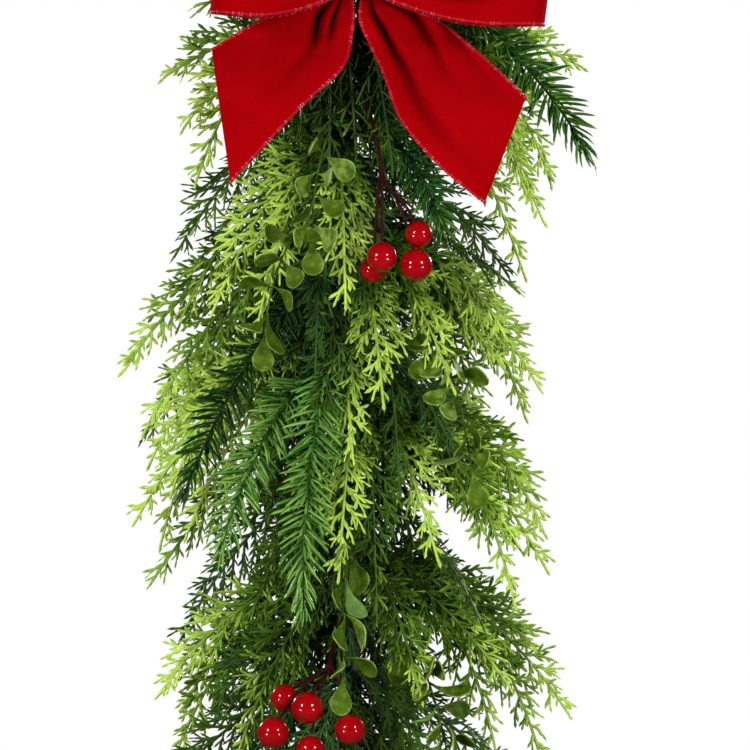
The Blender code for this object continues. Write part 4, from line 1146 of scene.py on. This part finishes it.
def makeCore():
    # paper tape wound round the wire bundle, each lap standing a little over the last
    length = garland["coreTop"] - garland["coreBottom"]
    rings = int(length / wrap["step"])
    sides = wrap["sides"]
    points = []
    for i in range(rings + 1):
        z = garland["coreTop"] - length * i / rings
        for k in range(sides):
            turn = k / sides
            lap = (turn - z / wrap["lap"]) % 1
            crease = wrap["crease"] * math.sin(wrap["creases"][0] * turn * math.tau + wrap["creases"][1] * z)
            radius = garland["coreRadius"] - wrap["ridge"] * lap + crease
            points.append(besideCore(z, turn * math.tau, radius))
    # the rings go down, so each face is turned round to point outwards
    faces = [(face[0], *face[:0:-1]) for face in tubeFaces(rings + 1, sides)]
    keep(meshFrom("wrappedCore", points, faces, brownWrap), "paper", "core_stem")


def makeStemWraps():
    # each bunch's stems are bound to the core with a short turn of the same tape
    parts = []
    for root in stemRoots:
        heights = np.linspace(1, -1, 9)
        points = root + np.outer(heights, (0, 0, garland["pegHalf"]))
        radii = garland["pegRadius"] * (0.80 + 0.20 * np.cos(0.5 * math.pi * heights))
        parts.append(sweptTube(points, radii, 10))
    keep(meshFrom("stemWraps", *joinParts(parts), brownWrap), "paper")


def makeEye():
    # a round eye of wire whose two ends are twisted together down to the core
    across, other, up = np.eye(3)
    radius = eye["inner"] + eye["wire"]
    parts = [ringTube(-eye["inner"] * up, across, up, radius, eye["wire"])]
    top = -eye["inner"] - radius
    bottom = garland["coreTop"] + garland["gap"]
    for strand in twistedPair(top * up, bottom * up, across, other, eye):
        parts.append(sweptTube(strand, eye["wire"] * eye["strandShare"], 10))
    keep(meshFrom("wireEye", *joinParts(parts), steelWire), "wire", "hanging_eye")


def makeTieWire():
    # a ring of wire round the core, twisted forward to the knot
    across, other, up = np.eye(3)
    centre = corePoint(tie["z"])
    radius = garland["coreRadius"] + 2 * garland["gap"] + tie["radius"]
    parts = [ringTube(centre, across, other, radius, tie["radius"], 40, 10)]
    end = np.array((knot["centre"][0], knot["centre"][1] + knot["half"][1] + garland["gap"], tie["z"]))
    for strand in twistedPair(centre - radius * other, end, across, up, tie):
        parts.append(sweptTube(strand, tie["radius"] * tie["strandShare"], 8))
    keep(meshFrom("tieWire", *joinParts(parts), greenWire), "wire", "bow_tie_wire")


# Bow

ribbon = {"width": 0.0635, "thickness": 0.0008, "columns": 36, "pinchHalf": 0.0115}
knot = {
    "centre": (0.005, -0.052, -0.139), "half": (0.0105, 0.0100, 0.0140), "waist": 0.45, "taper": 2.6,
    "girth": 0.97, "pleats": 3.4, "pleatDepth": 0.045, "rings": 44, "sides": 48,
}
loops = {
    "left": {"end": (-81.0, -130.6), "side": -1, "lean": 0.0},
    "right": {"end": (118.0, -138.0), "side": 1, "lean": 4.0},
    "forward": 0.017, "depth": 0.017, "split": 0.003, "opensBy": 0.75, "backNarrower": 0.045,
    "backPleats": 0.55, "wave": 0.0010, "turns": 96, "knotGap": 0.00055,
}
tails = {
    "left": (
        ((-5.0, -148.2), (1.5, -148.2)),
        ((-16.0, -153.5), (2.1, -161.2)),
        ((-33.8, -158.6), (0.9, -174.0)),
        ((-48.9, -163.5), (-4.9, -194.5)),
        ((-65.0, -172.3), (-28.8, -217.9)),
        ((-81.4, -183.1), (-69.4, -262.0)),
    ),
    "right": (
        ((8.0, -148.2), (14.0, -148.2)),
        ((6.2, -164.0), (25.6, -155.0)),
        ((12.1, -179.0), (40.2, -159.5)),
        ((20.3, -197.6), (57.7, -168.9)),
        ((30.8, -226.1), (73.4, -182.9)),
        ((52.9, -252.6), (88.4, -197.3)),
        ((79.0, -274.4), (103.4, -212.7)),
    ),
    "back": -0.0383, "seat": -0.0440, "forward": 0.050, "ease": 0.034, "turn": 0.012, "loopFoot": -0.1725,
    "wave": 0.0016, "waveFrom": 0.004, "waveOver": 0.012, "fullWidth": 0.030, "rows": 70,
}
edge = {
    "radius": 0.00085, "stitchSpacing": 0.0017, "stitchSize": 0.00122, "slant": 0.75,
    "threadReds": ((0.50, 0.002, 0.012), (0.90, 0.24, 0.28)),
}
velvet = {
    "reds": ((0.360, 0.0, 0.0015), (0.420, 0.0003, 0.003)), "pileRed": (0.26, 0.0, 0.001),
    "foldShadeRed": (0.050, 0.0, 0.0003), "sheen": 0.08, "sheenRed": (1.0, 0.0, 0.01),
}
# a fold: its line as (share down the ribbon, share across), how deep, how wide, and how far down it reaches
folds = {
    "bowTailLeft": ((((0.10, 0.05), (0.40, 0.42), (0.60, 0.60), (0.80, 0.66)), 0.0120, 0.085, 0.90),
                    (((0.05, 0.40), (0.20, 0.49), (0.40, 0.66), (0.55, 0.74)), 0.0100, 0.060, 0.66)),
    "bowTailRight": ((((0.10, 0.46), (0.45, 0.26), (0.60, 0.26), (0.80, 0.22)), 0.0100, 0.080, 1.05),
                     (((0.12, 1.00), (0.33, 0.92), (0.50, 0.74), (0.60, 0.66)), 0.0100, 0.075, 0.80),
                     (((0.38, 1.10), (0.50, 1.00), (0.67, 0.925), (0.83, 0.90)), 0.0060, 0.040, 0.95)),
    "bowLoopLeft": ((((0.0, 0.22), (1.0, 0.24)), 0.0034, 0.055, 0.62),
                    (((0.0, 0.50), (1.0, 0.50)), 0.0042, 0.060, 0.74),
                    (((0.0, 0.79), (1.0, 0.78)), 0.0032, 0.050, 0.56)),
    "bowLoopRight": ((((0.0, 0.20), (1.0, 0.22)), 0.0032, 0.050, 0.60),
                     (((0.0, 0.46), (1.0, 0.46)), 0.0042, 0.060, 0.76),
                     (((0.0, 0.76), (1.0, 0.76)), 0.0034, 0.055, 0.58)),
}


def makeVelvet():
    material, tree, shader = newMaterial("redVelvet")
    nap = addNoise(tree, 24.0, 3.0, 0.6)
    pile = addNoise(tree, 1500.0, 2.0)
    colour = mixColours(tree, mapRange(tree, nap, 0.35, 0.65, 0.0, 1.0), *velvet["reds"])
    colour = mixColours(tree, mapRange(tree, pile, 0.35, 0.65, 0.0, 0.4), colour, velvet["pileRed"])
    foldShade = mapRange(tree, markOf(tree, "fold"), 0.15, 0.95, 0.0, 0.84)  # painted shade: the velvet is painted darker along the valleys of its folds
    fill(tree, shader, {
        "Base Color": mixColours(tree, foldShade, colour, velvet["foldShadeRed"]),
        "Normal": addBump(tree, pile, 0.35, 0.0003), "Roughness": 0.95, "Specular IOR Level": 0.02,
        "Sheen Weight": velvet["sheen"], "Sheen Roughness": 0.45, "Sheen Tint": (*velvet["sheenRed"], 1)})
    return material


def makeThread():
    # red thread with a glittering strand in it
    material, tree, shader = newMaterial("glitterThread")
    glint = markOf(tree, "tint")
    fill(tree, shader, {
        "Base Color": mixColours(tree, mapRange(tree, glint, 0.60, 1.0, 0.0, 1.0), *edge["threadReds"]),
        "Roughness": mapRange(tree, glint, 0.3, 1.0, 0.55, 0.25),
        "Metallic": mapRange(tree, glint, 0.8, 1.0, 0.0, 0.5), "Specular IOR Level": 0.12})
    return material


def ribbonSheet(name, shape, node):
    # a thin closed sheet through a grid of points, hemmed and stitched along both long edges
    grid, depths = shape
    deepest = max(fold[1] for fold in folds[name])
    # how deep each point lies in a fold, kept as a mark that paints shade into the valleys
    shade = np.clip(depths / deepest, 0, 1).ravel()
    across = np.gradient(grid, axis=1)
    normal = unit(np.cross(np.gradient(grid, axis=0), across))
    half = ribbon["thickness"] / 2
    points = np.concatenate([(grid + half * normal).reshape(-1, 3), (grid - half * normal).reshape(-1, 3)])
    faces = slabFaces(*grid.shape[:2])
    piece = keep(meshFrom(name, points, faces, redVelvet, marks={"fold": np.tile(shade, 2)}), "velvet", node)
    withPieces = hemAndStitches(name, "A", grid[:, 0], across[:, 0])
    withPieces += hemAndStitches(name, "B", grid[:, -1], -across[:, -1])


def hemAndStitches(name, label, line, inward):
    # the wired hem along one long edge and the glittering stitches over it
    hem = keep(meshFrom(f"{name}Hem{label}", *sweptTube(line, edge["radius"], 8), glitterThread), "velvet")
    source = meshFrom(f"{name}Line{label}", line, [], None, edges=[(i, i + 1) for i in range(len(line) - 1)])
    setMark(source.data, "facing", "FLOAT_VECTOR", unit(inward).astype(np.float32))
    stitches = grow(f"{name}Stitches{label}", source, stitchTree, {
        "Stitch": stitchShape, "Spacing": edge["stitchSpacing"], "Size": edge["stitchSize"],
        "Slant": edge["slant"], "Seed": len(name), "Material": glitterThread})
    return [hem, keep(stitches, "velvet")]


def makeStitchShape():
    # one wrap of thread round the hem
    points, faces = ringTube((0, 0, 0), (1, 0, 0), (0, 1, 0), 0.80, 0.26, 8, 3)
    return meshFrom("stitchShape", points, faces, None)


def foldDepth(name, u, t, openness):
    # the valleys of a gathered ribbon, deep by the knot and gone further out
    depth = 0.0 * u
    for line, deep, wide, reach in folds[name]:
        at = np.interp(t, *zip(*line))
        fade = min(1.0, 1.7 * max(0.0, 1 - t / reach)) * min(1.0, t / 0.06 + 0.3)
        depth = depth + deep * fade * openness * np.exp(-((u - at) / wide) ** 2)
    return depth


def loopRows(name, loop):
    startX = knot["centre"][0] + loop["side"] * (knot["half"][0] + loops["knotGap"] + garland["gap"])
    endX = loop["end"][0] * 0.001
    endZ = loop["end"][1] * 0.001
    v = np.linspace(-1, 1, ribbon["columns"] + 1)
    rows = []
    depths = []
    for i in range(loops["turns"] + 1):
        t = i / loops["turns"]
        swell = math.sin(math.pi * t)
        y = knot["centre"][1] - loops["forward"] * swell - loops["depth"] * math.sin(2 * math.pi * t)
        y -= loops["split"] * math.cos(math.pi * t)
        middle = knot["centre"][2] + (endZ - knot["centre"][2]) * swell
        openShare = min(1.0, swell / loops["opensBy"])
        half = ribbon["width"] / 2 - (ribbon["width"] / 2 - ribbon["pinchHalf"]) * (1 - openShare) ** 1.8
        half *= 1 - loops["backNarrower"] * max(0, -math.sin(2 * math.pi * t))
        depth = foldDepth(name, (v + 1) / 2, 2 * min(t, 1 - t), 0.55 + 0.45 * openShare)
        pleat = depth if t < 0.5 else -loops["backPleats"] * depth
        wave = loops["wave"] * swell * np.sin(3.1 * v + 5.0 * t + loop["side"])
        x = startX + (endX - startX) * swell + loop["lean"] * 0.001 * v * swell
        rows.append(np.stack([x, y + pleat + wave, middle + half * v], axis=1))
        depths.append(depth)
    grid = np.array(rows)
    depths = np.array(depths)
    return (grid, depths) if loop["side"] < 0 else (grid[:, ::-1], depths[:, ::-1])


def smoothLine(values, many):
    # a smooth curve through a few rows of values
    values = np.array(values, float)
    last = len(values) - 1
    result = []
    for place in np.linspace(0, last, many):
        i = min(int(place), last - 1)
        t = place - i
        p0, p1, p2, p3 = (values[min(max(i + k, 0), last)] for k in (-1, 0, 1, 2))
        result.append(0.5 * (2 * p1 + (p2 - p0) * t + (2 * p0 - 5 * p1 + 4 * p2 - p3) * t ** 2
                             + (3 * p1 - p0 - 3 * p2 + p3) * t ** 3))
    return np.array(result)


def tailDepth(z):
    # the tails hang back under the knot and come forward over the leaves further down
    below = np.maximum(0, tails["loopFoot"] - z)
    eased = 1 - np.exp(-below ** 2 / (below + tails["turn"]) / tails["ease"])
    return tails["back"] - tails["forward"] * eased


def tailRows(name, edges):
    lines = smoothLine(np.array(edges).reshape(len(edges), 4), tails["rows"] + 1) * 0.001
    u = np.linspace(0, 1, ribbon["columns"] + 1)
    rows = []
    depths = []
    for i, (x1, z1, x2, z2) in enumerate(lines):
        t = i / tails["rows"]
        x = x1 + (x2 - x1) * u
        z = z1 + (z2 - z1) * u
        seat = max(0.0, 1 - t * (len(edges) - 1))
        y = tailDepth(z) * (1 - seat) + tails["seat"] * seat
        free = np.clip((tails["loopFoot"] + tails["waveFrom"] - z) / tails["waveOver"], 0, 1)
        width = math.hypot(x2 - x1, z2 - z1)
        depth = foldDepth(name, u, t, min(1.0, width / tails["fullWidth"]))
        y = y + depth + tails["wave"] * free * np.sin(2.6 * u + 5.5 * t)
        rows.append(np.stack([x, y, z], axis=1))
        depths.append(depth)
    return np.array(rows), np.array(depths)


def makeKnot():
    # a band of velvet gathered tightly round the middle of the bow
    sides = knot["sides"]
    points = []
    for i in range(knot["rings"] + 1):
        u = 2 * i / knot["rings"] - 1
        plump = 1 - knot["waist"] * abs(u) ** knot["taper"]
        for k in range(sides):
            turn = math.tau * k / sides
            pleat = math.cos(math.tau * knot["pleats"] * u / 2 + 0.5 * math.sin(turn))
            size = plump * (knot["girth"] + knot["pleatDepth"] * pleat)
            shape = (u, size * math.cos(turn), size * math.sin(turn))
            points.append(np.array(knot["centre"]) + np.array(knot["half"]) * shape)
    faces = tubeFaces(knot["rings"] + 1, sides)
    piece = keep(meshFrom("bowKnot", points, faces, redVelvet), "velvet", "bow_knot")


brownWrap = makeWrapMaterial()
steelWire = makeWireMaterial("steelWire", ((0.22, 0.22, 0.21), (0.42, 0.42, 0.40)), 0.32)
greenWire = makeWireMaterial("greenWire", ((0.02, 0.05, 0.02), (0.06, 0.12, 0.05)), 0.45)
redVelvet = makeVelvet()
glitterThread = makeThread()
stitchShape = makeStitchShape()
makeCore()
makeStemWraps()
makeEye()
makeTieWire()
print("core and wires")
makeKnot()
ribbonSheet("bowLoopLeft", loopRows("bowLoopLeft", loops["left"]), "bow_loop_left")
ribbonSheet("bowLoopRight", loopRows("bowLoopRight", loops["right"]), "bow_loop_right")
ribbonSheet("bowTailLeft", tailRows("bowTailLeft", tails["left"]), "bow_tail_left")
ribbonSheet("bowTailRight", tailRows("bowTailRight", tails["right"]), "bow_tail_right")
print("bow")

for helper in (leaflet, needle, leafShape, berryShape, stitchShape):
    bpy.data.objects.remove(helper)


# Floor, world and lights

studio = {
    "floor": -0.985, "floorSize": 6.0, "floorGlow": 0.80, "backdrop": 1.0, "fill": 0.13, "shineFill": 0.015,
    "lampSize": 0.48,
    "lamps": (((-1.35, -1.65, 0.24), 24), ((1.35, -1.65, 0.24), 20.5), ((-1.50, -1.50, -0.96), 21.5),
              ((1.50, -1.50, -0.96), 18), ((-1.5, 1.7, 0.3), 20), ((1.5, 1.7, 0.3), 20)),
}


def makeStudio():
    half = studio["floorSize"] / 2
    corners = [(x * half, y * half, studio["floor"]) for x, y in ((-1, -1), (1, -1), (1, 1), (-1, 1))]
    material, tree, shader = newMaterial("paleFloor")
    seen = addNode(tree, "ShaderNodeLightPath", None, "Is Camera Ray")  # pale to look at, dim as light
    fill(tree, shader, {
        "Base Color": mixColours(tree, seen, (0.12, 0.12, 0.12), (0.86, 0.86, 0.85)),
        "Roughness": 0.9, "Specular IOR Level": 0.0, "Emission Color": (1, 1, 1, 1),
        "Emission Strength": mapRange(tree, seen, 0.0, 1.0, 0.0, studio["floorGlow"])})
    meshFrom("floor", corners, [(0, 1, 2, 3)], material, smooth=False)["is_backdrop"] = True
    world = bpy.data.worlds.new("studioWorld")
    world.use_nodes = True
    tree = world.node_tree
    # white to look at, dimmer as light, and dimmer still in a shine
    ray = tree.nodes.new("ShaderNodeLightPath").outputs
    light = mapRange(tree, ray["Is Glossy Ray"], 0.0, 1.0, studio["fill"], studio["shineFill"])
    fill(tree, tree.nodes["Background"], {
        "Color": (1, 1, 1, 1),
        "Strength": mapRange(tree, ray["Is Camera Ray"], 0.0, 1.0, light, studio["backdrop"])})
    bpy.context.scene.world = world
    for i, (place, power) in enumerate(studio["lamps"]):
        light = bpy.data.lights.new(f"softLight{i}", "AREA")
        light.shape = "DISK"
        light.size = studio["lampSize"]
        light.energy = power
        lamp = bpy.data.objects.new(light.name, light)
        lamp.location = place
        aim = Vector(camera["aim"]) - Vector(place)
        lamp.rotation_euler = aim.to_track_quat("-Z", "Y").to_euler()
        bpy.context.scene.collection.objects.link(lamp)
    bpy.context.scene.view_settings.view_transform = "Standard"


makeStudio()
triangles = sum(len(face.vertices) - 2 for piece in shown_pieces() for face in piece.data.polygons)
print("triangles:", triangles)
